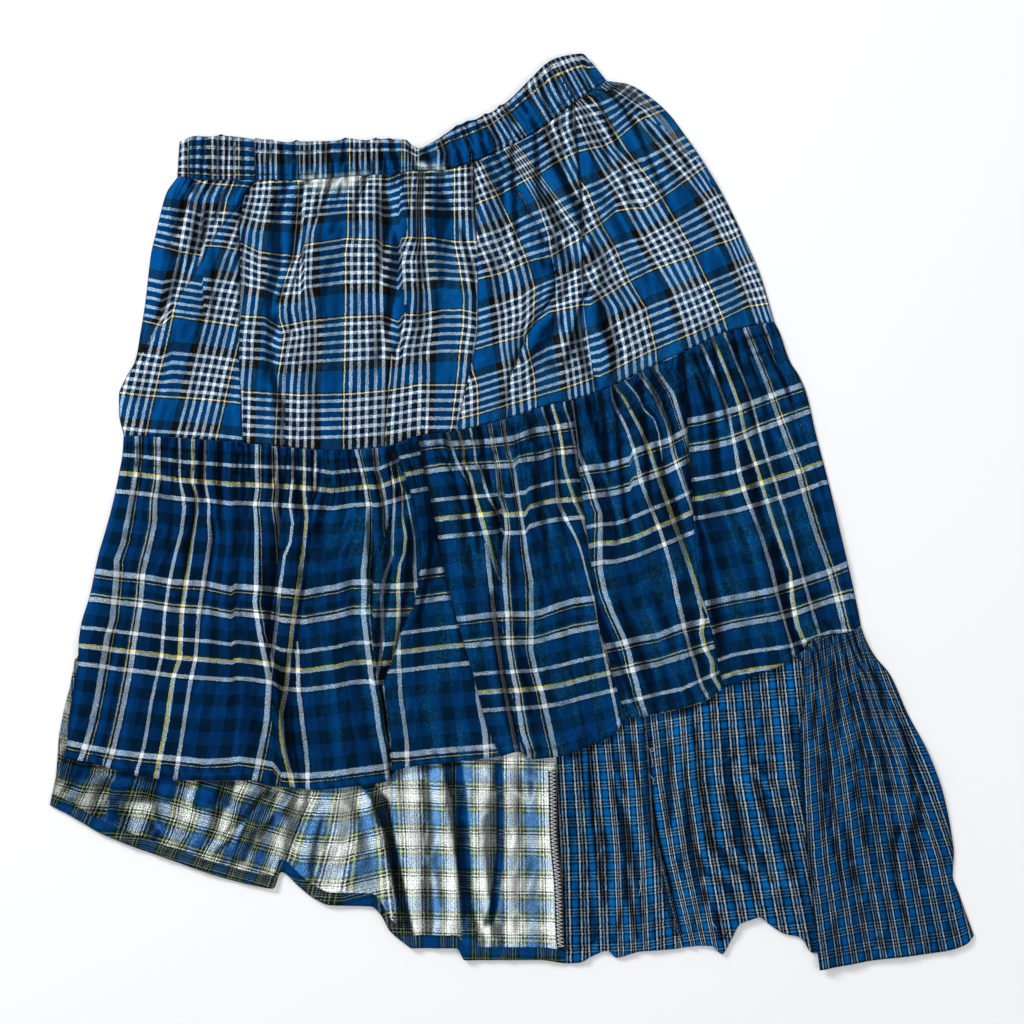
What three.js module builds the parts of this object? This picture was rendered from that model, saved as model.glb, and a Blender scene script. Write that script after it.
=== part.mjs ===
// A three-tier patchwork midi skirt with an elastic waist and a slanting hem, laid flat and face up.
// Millimetres, +X across the skirt, +Y towards the waist, +Z up off the surface that it lies on.
// The back panels rest on the surface. The front panels lie on them and roll down round their sides.
import * as THREE from "three";

// ---- Driving dimensions ----
const CLOTH = 1.2; // wall that stands for one layer of shirting with its creases
const CASING = 2.2; // waistband: two layers of shirting over 25 mm elastic
const TRIM = 1; // wall of a turned-up hem or a seam allowance, which lies on a panel
const GAP = 0.3; // between pieces at a seam, and between layers
const SIDE_ROLL = 6; // how far in from a side fold the front cloth has come down from its full height
const BACK_INSET = 7; // how far in from the sides the plain back panels stop, so that the front rolls down round them
const BACK_COLUMNS = 24; // of a plain back panel, the same in each so that their seams run together
const HEM_TURN = 11; // depth of the turned-up hem of the lowest tier
const SEAM_ALLOWANCE = 8; // width of the overlocked seam allowances that show
const HEM_LIFT = 2.4; // how far a free edge of the front is held up by the folds beneath it
const COVERED_FOLD = 1.8; // the most that a fold of the back may rise under that free edge
const HEM_LIFT_REACH = 40; // how far in from its free edge the front stays lifted
const COVERED_REACH = 25; // how far in under the front the folds of the back carry on
const UNCOVERED_RISE = 0.25; // how fast those folds may rise outside that edge, per mm
const SLOPE_STRETCH = 1.2; // the most by which a wall is made taller where the cloth slopes
const WAIST_LIFT = 1.0; // step up of the front where it joins the thicker waistband
const FRONT_FLOOR = CLOTH + GAP; // underside of a front panel that lies flat on the back

// ---- Plan lines: rows of [x, y]. Lines that run across are read by x, side lines and seams by y. ----
const WAIST_TOP = [
  [-279, 311], [-269, 315], [-250, 316], [-178, 311], [-135, 313], [-90, 312], [-80, 304], [-68, 310],
  [-51, 321], [-17, 336], [0, 349], [16, 365], [33, 379], [50, 384], [59, 385], [64, 381],
];
const WAIST_SEAM = [
  [-281, 281], [-250, 278], [-215, 278], [-178, 278], [-141, 281], [-94, 284], [-78, 286], [-61, 286],
  [-36, 292], [-10, 303], [15, 315], [36, 330], [52, 343], [74, 358], [79, 362],
];
const YOKE_SEAM = [
  [-326, 64], [-296, 63], [-262, 61], [-226, 58], [-186, 54], [-155, 52], [-109, 54], [-79, 64], [-47, 68],
  [-20, 74], [1, 80], [24, 88], [49, 94], [70, 100], [95, 111], [121, 124], [152, 138], [179, 151], [220, 160],
];
const FRONT_HEM = [
  [-376, -207], [-359, -209], [-334, -216], [-314, -221], [-278, -225], [-217, -225], [-200, -230],
  [-183, -231], [-168, -233], [-131, -230], [-106, -226], [-96, -216], [-55, -210], [-10, -205], [6, -201],
  [17, -207], [40, -205], [65, -196], [86, -186], [96, -173], [112, -171], [141, -165], [163, -158],
  [177, -148], [191, -143], [215, -133], [236, -123], [255, -105], [281, -101], [293, -96],
];
const BACK_SEAM = [
  [-357, -112], [-278, -150], [-178, -172], [-96, -166], [-10, -154], [65, -144], [158, -118], [286, -98],
];
const COVER_LINE = [...FRONT_HEM.filter(([x]) => x < 220), [250, -140], [310, -135]];
const TARTAN_HEM = [
  [-388, -246], [-370, -255], [-346, -269], [-320, -280], [-286, -292], [-252, -304], [-219, -313], [-200, -316],
  [-194, -302], [-178, -315], [-168, -323], [-152, -330], [-118, -331], [-110, -338], [-103, -351], [-90, -362],
  [-84, -366], [-46, -366], [-40, -376], [23, -376], [46, -379],
];
const CHECK_HEM = [
  [46, -379], [57, -378], [67, -373], [81, -368], [87, -374], [107, -369], [134, -367], [158, -364], [168, -364],
  [176, -371], [184, -359], [191, -346], [201, -342], [208, -340], [216, -346], [229, -354], [242, -357],
  [252, -370], [300, -368], [340, -364], [382, -352],
];
const RUFFLE_HEM = [
  [258, -385], [268, -383], [285, -380], [302, -377], [336, -373], [369, -368], [382, -363], [388, -356],
];
const YOKE_LEFT = [
  [-281, 281], [-290, 268], [-295, 251], [-299, 234], [-303, 217], [-308, 175], [-312, 150], [-316, 128],
  [-325, 111], [-330, 98], [-330, 84], [-326, 64],
];
const YOKE_RIGHT = [
  [79, 362], [95, 360], [111, 352], [131, 335], [144, 318], [156, 301], [176, 268], [193, 234], [208, 200],
  [218, 167], [220, 160],
];
const MIDDLE_LEFT = [
  [-326, 64], [-327, 49], [-330, 32], [-335, 8], [-342, -18], [-347, -35], [-354, -68], [-363, -102],
  [-364, -126], [-367, -141], [-370, -160], [-372, -174], [-373, -192], [-376, -207],
];
const MIDDLE_RIGHT = [
  [220, 160], [225, 150], [230, 135], [234, 125], [240, 116], [247, 100], [255, 66], [268, 16], [276, -18],
  [284, -52], [291, -85], [293, -96],
];
const RUFFLE_LEFT = [
  [239, -119], [245, -130], [246, -149], [242, -183], [242, -216], [246, -267], [250, -309], [254, -351],
  [258, -385],
];
const RUFFLE_RIGHT = [
  [293, -96], [297, -107], [304, -120], [317, -136], [332, -169], [350, -203], [362, -236], [369, -270],
  [371, -287], [370, -305], [375, -320], [388, -356],
];
const TARTAN_LEFT = [
  [-357, -112], [-368, -126], [-370, -141], [-375, -160], [-378, -174], [-381, -192], [-382, -207],
  [-383, -220], [-386, -235], [-388, -246],
];
const YOKE_SEAM_1 = [[-215, 278], [-225, 262], [-228, 237], [-228, 178], [-229, 128], [-227, 94], [-226, 58]];
const YOKE_SEAM_2 = [[-32, 294], [-31, 259], [-29, 216], [-29, 157], [-36, 116], [-47, 68]];
const YOKE_SEAM_3 = [[52, 343], [55, 304], [59, 237], [60, 178], [65, 136], [70, 100]];
const MIDDLE_SEAM_1 = [
  [-79, 64], [-74, 36], [-68, 10], [-57, -49], [-47, -88], [-31, -142], [-23, -173], [-10, -205],
];
const MIDDLE_SEAM_2 = [[49, 94], [54, 63], [58, 20], [65, -33], [74, -102], [82, -130], [96, -173]];
const MIDDLE_SEAM_3 = [[143, 134], [147, 81], [149, 47], [156, -51], [168, -101], [177, -148]];
const TARTAN_SEAM = [[32, -151], [37, -205], [38, -267], [42, -320], [43, -355], [46, -379]];
const CHECK_SEAM = [[108, -134], [112, -171], [119, -257], [131, -310], [145, -366]];

// ---- Creases: each runs through three plan points, and is `width` to the side where it has mostly fallen away and
// `height` tall. `steep` is the side that drops sharply: -1 the right as one looks from the first point to the
// last, 1 the left, 0 neither. ----
const crease = (x0, y0, x1, y1, x2, y2, width, height, steep) => ({ x0, y0, x1, y1, x2, y2, width, height, steep });
const YOKE_CREASES = [
  crease(-224, 275, -279, 179, -326, 101, 20, 5.5, -1),
  crease(-257, 277, -272, 240, -280, 215, 8, 2.5, 0),
  crease(-157, 263, -194, 143, -168, 66, 16, 4.5, -1),
  crease(-107, 277, -92, 205, -112, 107, 12, 4.5, -1),
  crease(-61, 279, -30, 216, -29, 150, 11, 3.5, -1),
  crease(7, 288, 28, 240, 32, 205, 12, 3.5, 1),
  crease(30, 293, 52, 243, 65, 205, 10, 5, 1),
  crease(65, 205, 50, 160, 38, 120, 10, 5, 1),
  crease(59, 190, 62, 150, 74, 105, 10, 4, -1),
  crease(95, 343, 153, 299, 185, 250, 12, 3, -1),
  crease(90, 300, 135, 210, 165, 150, 22, 3, 0),
];
const MIDDLE_CREASES = [
  crease(-327, 40, -345, -60, -368, -160, 14, 3, 0),
  crease(-222, -20, -205, -131, -190, -232, 14, 5.5, 1),
  crease(-183, 10, -188, -60, -200, -137, 10, 4, -1),
  crease(-128, 30, -119, -110, -104, -220, 12, 5, 1),
  crease(-96, 20, -99, -60, -111, -147, 10, 4, -1),
  crease(-80, 20, -74, -40, -93, -104, 9, 4, 1),
  crease(-13, 30, -21, -23, -10, -75, 9, 4.5, 1),
  crease(-13, -65, 2, -157, 15, -204, 10, 4.5, -1),
  crease(95, 60, 100, 20, 118, -50, 11, 3, 0),
  crease(70, -60, 95, -125, 112, -171, 9, 4, -1),
  crease(138, 60, 160, -60, 172, -140, 9, 4, 1),
  crease(179, 84, 188, 34, 197, -20, 9, 3, 0),
  crease(223, -10, 233, -60, 243, -112, 9, 3.5, -1),
  crease(262, 20, 277, -23, 286, -79, 7, 2.5, 0),
];
const TARTAN_CREASES = [
  crease(-190, -225, -216, -257, -250, -296, 10, 3.5, -1),
  crease(-165, -225, -172, -262, -192, -302, 10, 4, -1),
  crease(-126, -226, -112, -280, -92, -358, 9, 3.5, 1),
  crease(-103, -222, -92, -290, -80, -356, 10, 4, -1),
  crease(-63, -212, -53, -275, -42, -360, 9, 4, 1),
  crease(-31, -240, -30, -300, -20, -350, 8, 3, 0),
  crease(-10, -207, -8, -286, -14, -352, 9, 3.5, -1),
  crease(-330, -222, -318, -245, -305, -280, 9, 2.5, 0),
  crease(-270, -228, -262, -260, -258, -296, 12, 2, 0),
];
const CHECK_CREASES = [
  crease(72, -195, 90, -290, 81, -360, 9, 3.5, 1),
  crease(95, -195, 112, -275, 123, -345, 9, 3.5, 1),
  crease(135, -168, 142, -231, 135, -300, 8, 3, 0),
  crease(147, -180, 155, -268, 178, -318, 9, 3.5, -1),
  crease(188, -204, 195, -250, 226, -308, 9, 3.5, -1),
  crease(195, -219, 208, -259, 238, -330, 9, 3.5, 1),
  crease(160, -300, 176, -330, 178, -358, 8, 3, -1),
];
const RUFFLE_CREASES = [
  crease(311, -159, 330, -215, 324, -272, 9, 3.5, 1),
  crease(284, -168, 280, -240, 308, -332, 9, 3, 0),
  crease(252, -186, 248, -240, 264, -341, 9, 3.5, -1),
  crease(342, -170, 352, -240, 350, -330, 10, 3, 0),
  crease(330, -262, 326, -300, 338, -350, 9, 3, -1),
];

// ---- Small mathematics ----
const lerp = (a, b, f) => a + (b - a) * f;
const clamp01 = (f) => Math.min(1, Math.max(0, f));
const smooth = (f) => clamp01(f) ** 2 * (3 - 2 * clamp01(f));

// The value of a plan line at q, with `by` 0 reading y at an x, and 1 reading x at a y. Slopes are limited as in a
// monotone cubic, so that the line bends smoothly and never overshoots a row.
function readLine(rows, q, by) {
  const ordered = rows[0][by] < rows.at(-1)[by] ? rows : rows.toReversed();
  const last = ordered.length - 1;
  const at = Math.min(last - 1, Math.max(0, ordered.findIndex((row) => row[by] > q) - 1));
  const k = q >= ordered[last][by] ? last - 1 : at;
  const slope = (i) => (ordered[i + 1][1 - by] - ordered[i][1 - by]) / (ordered[i + 1][by] - ordered[i][by]);
  const tangent = (i) => {
    if (i === 0 || i === last) return slope(Math.min(i, last - 1));
    const [before, after] = [slope(i - 1), slope(i)];
    return before * after <= 0 ? 0 : (2 * before * after) / (before + after);
  };
  const span = ordered[k + 1][by] - ordered[k][by];
  const f = clamp01((q - ordered[k][by]) / span);
  const [p0, p1] = [ordered[k][1 - by], ordered[k + 1][1 - by]];
  return (
    (1 + 2 * f) * (1 - f) ** 2 * p0 + f * (1 - f) ** 2 * span * tangent(k) +
    f ** 2 * (3 - 2 * f) * p1 + f ** 2 * (f - 1) * span * tangent(k + 1)
  );
}

const across = (rows, fromX, toX) => (f) => {
  const x = lerp(fromX, toX, f);
  return [x, readLine(rows, x, 0)];
};

// A side of a panel from one corner to another, along a line read by y and eased so that it meets both corners.
const down = (rows, from, to) => (f) => {
  const y = lerp(from[1], to[1], f);
  const x = readLine(rows, y, 1);
  const [missTop, missFoot] = [from[0] - readLine(rows, from[1], 1), to[0] - readLine(rows, to[1], 1)];
  return [x + lerp(missTop, missFoot, f), y];
};

// The height that one crease adds at a plan point.
function creaseHeight(c, x, y) {
  let best = { off: Infinity, along: 0, side: 0 };
  const SEGMENTS = 8;
  const point = (f) => [
    (1 - f) ** 2 * c.x0 + 2 * f * (1 - f) * (2 * c.x1 - (c.x0 + c.x2) / 2) + f ** 2 * c.x2,
    (1 - f) ** 2 * c.y0 + 2 * f * (1 - f) * (2 * c.y1 - (c.y0 + c.y2) / 2) + f ** 2 * c.y2,
  ];
  for (let i = 0; i < SEGMENTS; i++) {
    const [ax, ay] = point(i / SEGMENTS);
    const [bx, by] = point((i + 1) / SEGMENTS);
    const [dx, dy] = [bx - ax, by - ay];
    const f = clamp01(((x - ax) * dx + (y - ay) * dy) / (dx * dx + dy * dy));
    const [ox, oy] = [x - ax - f * dx, y - ay - f * dy];
    const off = Math.hypot(ox, oy);
    if (off < best.off) best = { off, along: (i + f) / SEGMENTS, side: Math.sign(dx * oy - dy * ox) };
  }
  // A steep side drops in a third of the width.
  const width = c.steep && best.side === c.steep ? c.width / 3 : c.width;
  const taper = smooth(best.along / 0.2) * smooth((1 - best.along) / 0.25);
  return c.height * Math.exp(-((best.off / width) ** 2)) * taper;
}

// Creases meet without piling up: their heights are joined as a sum of fourth powers.
const creased = (list, x, y) => list.reduce((sum, c) => sum + creaseHeight(c, x, y) ** 4, 0) ** 0.25;

// Gathers: `count` waves across a panel, unevenly spaced, `height` tall at the gathered edge and gone at `reach`.
const gathers = (s, t, count, height, reach) =>
  (height / 2) * (1 - Math.cos(2 * Math.PI * (count * s + 0.22 * Math.sin(11 * s * 2 + count)))) *
  (0.75 + 0.25 * Math.sin(7 * s + count)) * (1 - smooth(t / reach)) * smooth(s * 12) * smooth((1 - s) * 12);

// ---- Panels ----
// A grid of plan points between four edges, blended so that every edge line is met.
function planGrid({ top, foot, left, right, columns, rows }) {
  const [a, b, c, d] = [top(0), top(1), foot(0), foot(1)];
  const leftSide = left ? down(left, a, c) : (f) => [lerp(a[0], c[0], f), lerp(a[1], c[1], f)];
  const rightSide = right ? down(right, b, d) : (f) => [lerp(b[0], d[0], f), lerp(b[1], d[1], f)];
  return rows.map((t) =>
    columns.map((s) => {
      const [T, F, L, R] = [top(s), foot(s), leftSide(t), rightSide(t)];
      const blend = (k) =>
        lerp(T[k], F[k], t) + lerp(L[k], R[k], s) - lerp(lerp(a[k], b[k], s), lerp(c[k], d[k], s), t);
      return { x: blend(0), y: blend(1), s, t };
    }),
  );
}

// The same over several bands of a panel, laid end to end from its top line to its foot line.
function bandedGrid({ lines, left, right, columns, bandRows }) {
  const bands = bandRows.map((rows, k) =>
    planGrid({ top: lines[k], foot: lines[k + 1], left, right, columns, rows }).map((row) =>
      row.map((p) => ({ ...p, t: (k + p.t) / bandRows.length })),
    ),
  );
  return bands.flat();
}

// Even fractions from `from` to `to`, with extra ones given by hand near the edges.
const fractions = (count, from = 0, to = 1, extra = []) =>
  [...Array.from({ length: count + 1 }, (_, i) => lerp(from, to, i / count)), ...extra].sort((a, b) => a - b);

// A closed wall over a grid: `under` gives its underside at a grid point and `thick` its thickness there, which is
// taken square to the cloth as far as its slope across the columns allows.
function wall(name, grid, material, under, thick) {
  const [rows, columns] = [grid.length, grid[0].length];
  const heights = grid.map((row) => row.map(under));
  const stretch = (j, i) => {
    const [before, after] = [Math.max(0, i - 1), Math.min(columns - 1, i + 1)];
    const run = Math.hypot(grid[j][after].x - grid[j][before].x, grid[j][after].y - grid[j][before].y);
    return Math.min(SLOPE_STRETCH, Math.hypot(1, (heights[j][after] - heights[j][before]) / run));
  };
  const positions = [];
  for (const upper of [false, true])
    grid.forEach((row, j) =>
      row.forEach((p, i) => positions.push(p.x, p.y, heights[j][i] + (upper ? thick(p) * stretch(j, i) : 0))),
    );
  const index = (upper, j, i) => (upper ? rows * columns : 0) + j * columns + i;
  const faces = [];
  const quad = (a, b, c, d) => faces.push(a, b, c, a, c, d);
  for (let j = 0; j < rows - 1; j++)
    for (let i = 0; i < columns - 1; i++) {
      quad(index(true, j, i), index(true, j + 1, i), index(true, j + 1, i + 1), index(true, j, i + 1));
      quad(index(false, j, i), index(false, j, i + 1), index(false, j + 1, i + 1), index(false, j + 1, i));
    }
  const rim = [
    ...Array.from({ length: columns - 1 }, (_, i) => [0, i]),
    ...Array.from({ length: rows - 1 }, (_, j) => [j, columns - 1]),
    ...Array.from({ length: columns - 1 }, (_, i) => [rows - 1, columns - 1 - i]),
    ...Array.from({ length: rows - 1 }, (_, j) => [rows - 1 - j, 0]),
  ];
  rim.forEach(([j, i], k) => {
    const [nextJ, nextI] = rim[(k + 1) % rim.length];
    quad(index(false, j, i), index(true, j, i), index(true, nextJ, nextI), index(false, nextJ, nextI));
  });
  const geometry = new THREE.BufferGeometry();
  geometry.setAttribute("position", new THREE.Float32BufferAttribute(positions, 3));
  geometry.setIndex(faces);
  geometry.computeVertexNormals();
  const mesh = new THREE.Mesh(geometry, material);
  mesh.name = name;
  return mesh;
}

const cloth = (color) => new THREE.MeshStandardMaterial({ color, roughness: 0.9, metalness: 0 });
const YOKE_CLOTH = cloth(0x1d4f86); // blue, white and black shirting
const MIDDLE_CLOTH = cloth(0x0b2c5c); // navy windowpane
const TARTAN_CLOTH = cloth(0x7d93ac); // pale dress tartan
const CHECK_CLOTH = cloth(0x23618f); // small teal check
const TURNED_TARTAN = cloth(0x1c4468); // right side of the tartan, turned up at the hem
const OVERLOCK = cloth(0xc9ccd0); // seam allowances bound with thread

// Half a gap left clear along the seam edges of a panel that is `length` long between them, as a fraction of it.
const margin = (length) => GAP / 2 / length;
const seamedRows = (length, ...inner) => [margin(length), ...inner, 1 - margin(length)];

// Rolls the front cloth down to the surface at the sides of the skirt.
const roll = (distance) => Math.sqrt(1 - (1 - clamp01(distance / SIDE_ROLL)) ** 2);

const meshes = [];

// Waistband: a casing round elastic, its front in two lengths joined by a seam and its back in one.
const bandRows = [0, 0.35, 0.68, 1 - margin(30)];
const bandParts = [
  { name: "waistband_front_short", from: -279, to: -216, footFrom: -281, footTo: -215, waves: 6, rolls: "left" },
  { name: "waistband_front_long", from: -216, to: 64, footFrom: -215, footTo: 79, waves: 24, rolls: "right" },
];
for (const { name, from, to, footFrom, footTo, waves, rolls } of bandParts) {
  const rollsLeft = rolls === "left";
  const width = to - from;
  const columns = fractions(
    waves * 3,
    rollsLeft ? 0 : margin(width),
    rollsLeft ? 1 - margin(width) : 1,
    rollsLeft ? [0.03] : [0.993],
  );
  const grid = planGrid({
    top: across(WAIST_TOP, from, to),
    foot: across(WAIST_SEAM, footFrom, footTo),
    columns,
    rows: bandRows,
  });
  const side = (p) => (rollsLeft ? p.s : 1 - p.s) * width;
  const ridge = (p) => gathers(p.s, 0, waves, 1.6, 1) * (0.45 + 0.55 * smooth(p.t * 4) * smooth((1.15 - p.t) * 3));
  meshes.push(wall(name, grid, YOKE_CLOTH, (p) => (CASING + GAP) * roll(side(p)), (p) => CASING + ridge(p)));
}
meshes.push(
  wall(
    "waistband_back",
    planGrid({
      top: across(WAIST_TOP, -279 + BACK_INSET, 64 - BACK_INSET),
      foot: across(WAIST_SEAM, -281 + BACK_INSET, 79 - BACK_INSET),
      columns: fractions(BACK_COLUMNS),
      rows: [0.06, 0.5, 1 - margin(30)],
    }),
    YOKE_CLOTH,
    () => 0,
    () => CASING,
  ),
);

// Top tier: four front panels gathered onto the waistband, over one back panel.
const yokeRows = seamedRows(230, 0.06, 0.14, 0.26, 0.4, 0.56, 0.73, 0.88);
const yokeParts = [
  { name: "yoke_front_1", top: [-281, -215], foot: [-326, -226], left: YOKE_LEFT, right: YOKE_SEAM_1, waves: 4 },
  { name: "yoke_front_2", top: [-215, -32], foot: [-226, -47], left: YOKE_SEAM_1, right: YOKE_SEAM_2, waves: 8 },
  { name: "yoke_front_3", top: [-32, 52], foot: [-47, 70], left: YOKE_SEAM_2, right: YOKE_SEAM_3, waves: 5 },
  { name: "yoke_front_4", top: [52, 79], foot: [70, 220], left: YOKE_SEAM_3, right: YOKE_RIGHT, waves: 5 },
];
yokeParts.forEach(({ name, top, foot, left, right, waves }, k) => {
  const first = k === 0;
  const last = k === yokeParts.length - 1;
  const widthAt = (t) => lerp(top[1] - top[0], foot[1] - foot[0], t);
  const columns = fractions(
    waves * 2 + 6,
    first ? 0 : margin(widthAt(0.5)),
    last ? 1 : 1 - margin(widthAt(0.5)),
    first ? [0.02] : last ? [0.985] : [],
  );
  const grid = planGrid({
    top: across(WAIST_SEAM, ...top),
    foot: across(YOKE_SEAM, ...foot),
    left,
    right,
    columns,
    rows: yokeRows,
  });
  const fromSide = (p) => (first ? p.s * widthAt(p.t) : last ? (1 - p.s) * widthAt(p.t) : SIDE_ROLL);
  const under = (p) => {
    const height =
      FRONT_FLOOR + WAIST_LIFT * (1 - smooth(p.t / 0.15)) + creased(YOKE_CREASES, p.x, p.y) +
      gathers(p.s, p.t, waves, 2.6, 0.75);
    return height * roll(fromSide(p));
  };
  meshes.push(wall(name, grid, YOKE_CLOTH, under, () => CLOTH));
});

// A plain hidden back panel, kept in from the sides so that the front can roll down round it.
const inset = (rows, by) => rows.map(([x, y]) => [x + by, y]);
function plainBack(name, material, top, foot, leftLine, rightLine) {
  const left = inset(leftLine, BACK_INSET);
  const right = inset(rightLine, -BACK_INSET);
  const rows = seamedRows(230, 0.25, 0.5, 0.75);
  const grid = planGrid({ top, foot, left, right, columns: fractions(BACK_COLUMNS), rows });
  meshes.push(wall(name, grid, material, () => 0, () => CLOTH));
}
plainBack(
  "yoke_back",
  YOKE_CLOTH,
  across(WAIST_SEAM, -281 + BACK_INSET, 79 - BACK_INSET),
  across(YOKE_SEAM, -326 + BACK_INSET, 220 - BACK_INSET),
  YOKE_LEFT,
  YOKE_RIGHT,
);
plainBack(
  "middle_back",
  MIDDLE_CLOTH,
  across(YOKE_SEAM, -326 + BACK_INSET, 220 - BACK_INSET),
  across(BACK_SEAM, -357, 286),
  MIDDLE_LEFT,
  MIDDLE_RIGHT,
);

// Middle tier: four front panels, shirred along their top edge, with a free hem up to where the ruffle is sewn on.
const RUFFLE_START = 239; // x of the ruffle's free side on the middle tier's hem
const SIDE_OPENS = -100; // y below which the left side lies on the tartan, which shows beyond it
const freeHem = (x) => smooth((RUFFLE_START - x) / 20);
const freeSide = (y) => smooth((RUFFLE_LEFT[0][1] - y) / 30);
const middleRows = seamedRows(270, 0.05, 0.12, 0.22, 0.36, 0.52, 0.7, 0.86);
const middleParts = [
  { name: "middle_front_1", top: [-326, -79], foot: [-376, -10], left: MIDDLE_LEFT, right: MIDDLE_SEAM_1, waves: 12 },
  { name: "middle_front_2", top: [-79, 49], foot: [-10, 96], left: MIDDLE_SEAM_1, right: MIDDLE_SEAM_2, waves: 7 },
  { name: "middle_front_3", top: [49, 143], foot: [96, 177], left: MIDDLE_SEAM_2, right: MIDDLE_SEAM_3, waves: 5 },
  { name: "middle_front_4", top: [143, 220], foot: [177, 293], left: MIDDLE_SEAM_3, right: MIDDLE_RIGHT, waves: 6 },
];
middleParts.forEach(({ name, top, foot, left, right, waves }, k) => {
  const first = k === 0;
  const last = k === middleParts.length - 1;
  const widthAt = (t) => lerp(top[1] - top[0], foot[1] - foot[0], t);
  const columns = fractions(
    waves * 2 + 6,
    first ? 0 : margin(widthAt(0.5)),
    last ? 1 : 1 - margin(widthAt(0.5)),
    first ? [0.008] : last ? [0.975] : [],
  );
  const grid = planGrid({
    top: across(YOKE_SEAM, ...top),
    foot: across(FRONT_HEM, ...foot),
    left,
    right,
    columns,
    rows: middleRows,
  });
  const fromSide = (p) => (first ? p.s * widthAt(p.t) : last ? (1 - p.s) * widthAt(p.t) : SIDE_ROLL);
  const under = (p) => {
    const toHem = (1 - p.t) * (YOKE_SEAM[0][1] - FRONT_HEM[0][1]);
    const lift = HEM_LIFT * smooth(1 - toHem / HEM_LIFT_REACH) * freeHem(p.x);
    const height = FRONT_FLOOR + lift + creased(MIDDLE_CREASES, p.x, p.y) + gathers(p.s, p.t, waves, 2.8, 0.6);
    const onTartan = first ? smooth((SIDE_OPENS - p.y) / 10) : 0;
    return height * lerp(roll(fromSide(p)), 1, onTartan);
  };
  meshes.push(wall(name, grid, MIDDLE_CLOTH, under, () => CLOTH));
});

// Lowest tier, front: one ruffle on the right, gathered under the middle tier, its left edge free.
const ruffleGrid = planGrid({
  top: across(FRONT_HEM, RUFFLE_START, 293),
  foot: across(RUFFLE_HEM, 258, 388),
  left: RUFFLE_LEFT,
  right: RUFFLE_RIGHT,
  columns: fractions(24, 0, 1, [0.98]),
  rows: [4 * margin(270), 0.05, 0.12, 0.22, 0.36, 0.52, 0.68, 0.84, 1],
});
meshes.push(
  wall(
    "ruffle_front",
    ruffleGrid,
    CHECK_CLOTH,
    (p) => {
      const width = lerp(54, 130, p.t);
      const lift = HEM_LIFT * smooth(1 - (p.s * width) / HEM_LIFT_REACH) * freeSide(p.y);
      const height = FRONT_FLOOR + lift + creased(RUFFLE_CREASES, p.x, p.y) + gathers(p.s, p.t, 8, 2.6, 0.55);
      return height * roll((1 - p.s) * width);
    },
    () => CLOTH,
  ),
);

// Lowest tier, back: its inner face shows below the front's hem. Its folds stay low where the front covers it.
function coverCap(x, y) {
  const capFor = (depth, free) =>
    free * (depth > 0 ? COVERED_FOLD * smooth(1 - depth / COVERED_REACH) : COVERED_FOLD) +
    Math.max(0, -depth) * UNCOVERED_RISE;
  const underMiddle = y - readLine(FRONT_HEM, x, 0);
  const underRuffle = x - readLine(RUFFLE_LEFT, y, 1);
  return Math.min(capFor(underMiddle, freeHem(x)), capFor(underRuffle, freeSide(y)));
}
const backFold = (creases, waves, height) => (p) =>
  Math.min(coverCap(p.x, p.y), creased(creases, p.x, p.y) + gathers(p.s, p.t, waves, height, 1.4));

const backParts = [
  {
    name: "lower_back_tartan", top: [-357, 32], cover: [-382, 37], turn: [-386, 45], foot: [-388, 46],
    hem: TARTAN_HEM, left: TARTAN_LEFT, right: TARTAN_SEAM, material: TARTAN_CLOTH, turned: TURNED_TARTAN,
    fold: backFold(TARTAN_CREASES, 15, 1.8), columns: 46, allowance: "tartan_seam_allowance",
  },
  {
    name: "lower_back_check_1", top: [32, 108], cover: [37, 112], turn: [45, 142], foot: [46, 145],
    hem: CHECK_HEM, left: TARTAN_SEAM, right: CHECK_SEAM, material: CHECK_CLOTH, turned: CHECK_CLOTH,
    fold: backFold(CHECK_CREASES, 5, 2), columns: 14, allowance: "check_seam_allowance",
  },
  {
    name: "lower_back_check_2", top: [108, 286], cover: [112, 309], turn: [142, 379], foot: [145, 381],
    hem: CHECK_HEM, left: CHECK_SEAM, right: inset(RUFFLE_RIGHT, -BACK_INSET), material: CHECK_CLOTH,
    turned: CHECK_CLOTH, fold: backFold(CHECK_CREASES, 7, 2), columns: 28,
  },
];
const BACK_BANDS = [[margin(45), 0.6, 1], [0.03, 0.18, 0.34, 0.5, 0.67, 0.84, 1], [1]];
for (const part of backParts) {
  const width = part.foot[1] - part.foot[0];
  const [seamFrom, seamTo] = [margin(width), 1 - margin(width)];
  const columns = fractions(
    part.columns,
    seamFrom,
    part.allowance ? seamTo - SEAM_ALLOWANCE / width : seamTo,
    part.allowance ? [seamTo] : [],
  );
  const turnLine = part.hem.map(([x, y]) => [x, y + HEM_TURN]);
  const grid = bandedGrid({
    lines: [
      across(BACK_SEAM, ...part.top),
      across(COVER_LINE, ...part.cover),
      across(turnLine, ...part.turn),
      across(part.hem, ...part.foot),
    ],
    left: part.left,
    right: part.right,
    columns,
    bandRows: BACK_BANDS,
  });
  meshes.push(wall(part.name, grid, part.material, part.fold, () => CLOTH));
  // What is sewn onto the panel's face is its own grid again, moved up.
  const onTop = (p) => part.fold(p) + CLOTH + GAP;
  const shows = (p) => p.x < readLine(RUFFLE_LEFT, p.y, 1) - 4;
  const hemEnd = grid.at(-1).findLastIndex(shows);
  const hemGrid = grid.slice(-2).map((row) => row.slice(0, hemEnd + 1));
  meshes.push(wall(`${part.name}_hem`, hemGrid, part.turned, onTop, () => TRIM));
  if (part.allowance) {
    const firstShown = BACK_BANDS[0].length;
    const strip = grid.slice(firstShown, -2).map((row) => row.slice(-2));
    meshes.push(wall(part.allowance, strip, OVERLOCK, onTop, () => TRIM));
  }
}

const skirt = new THREE.Group();
skirt.add(...meshes);
export default skirt;
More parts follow.
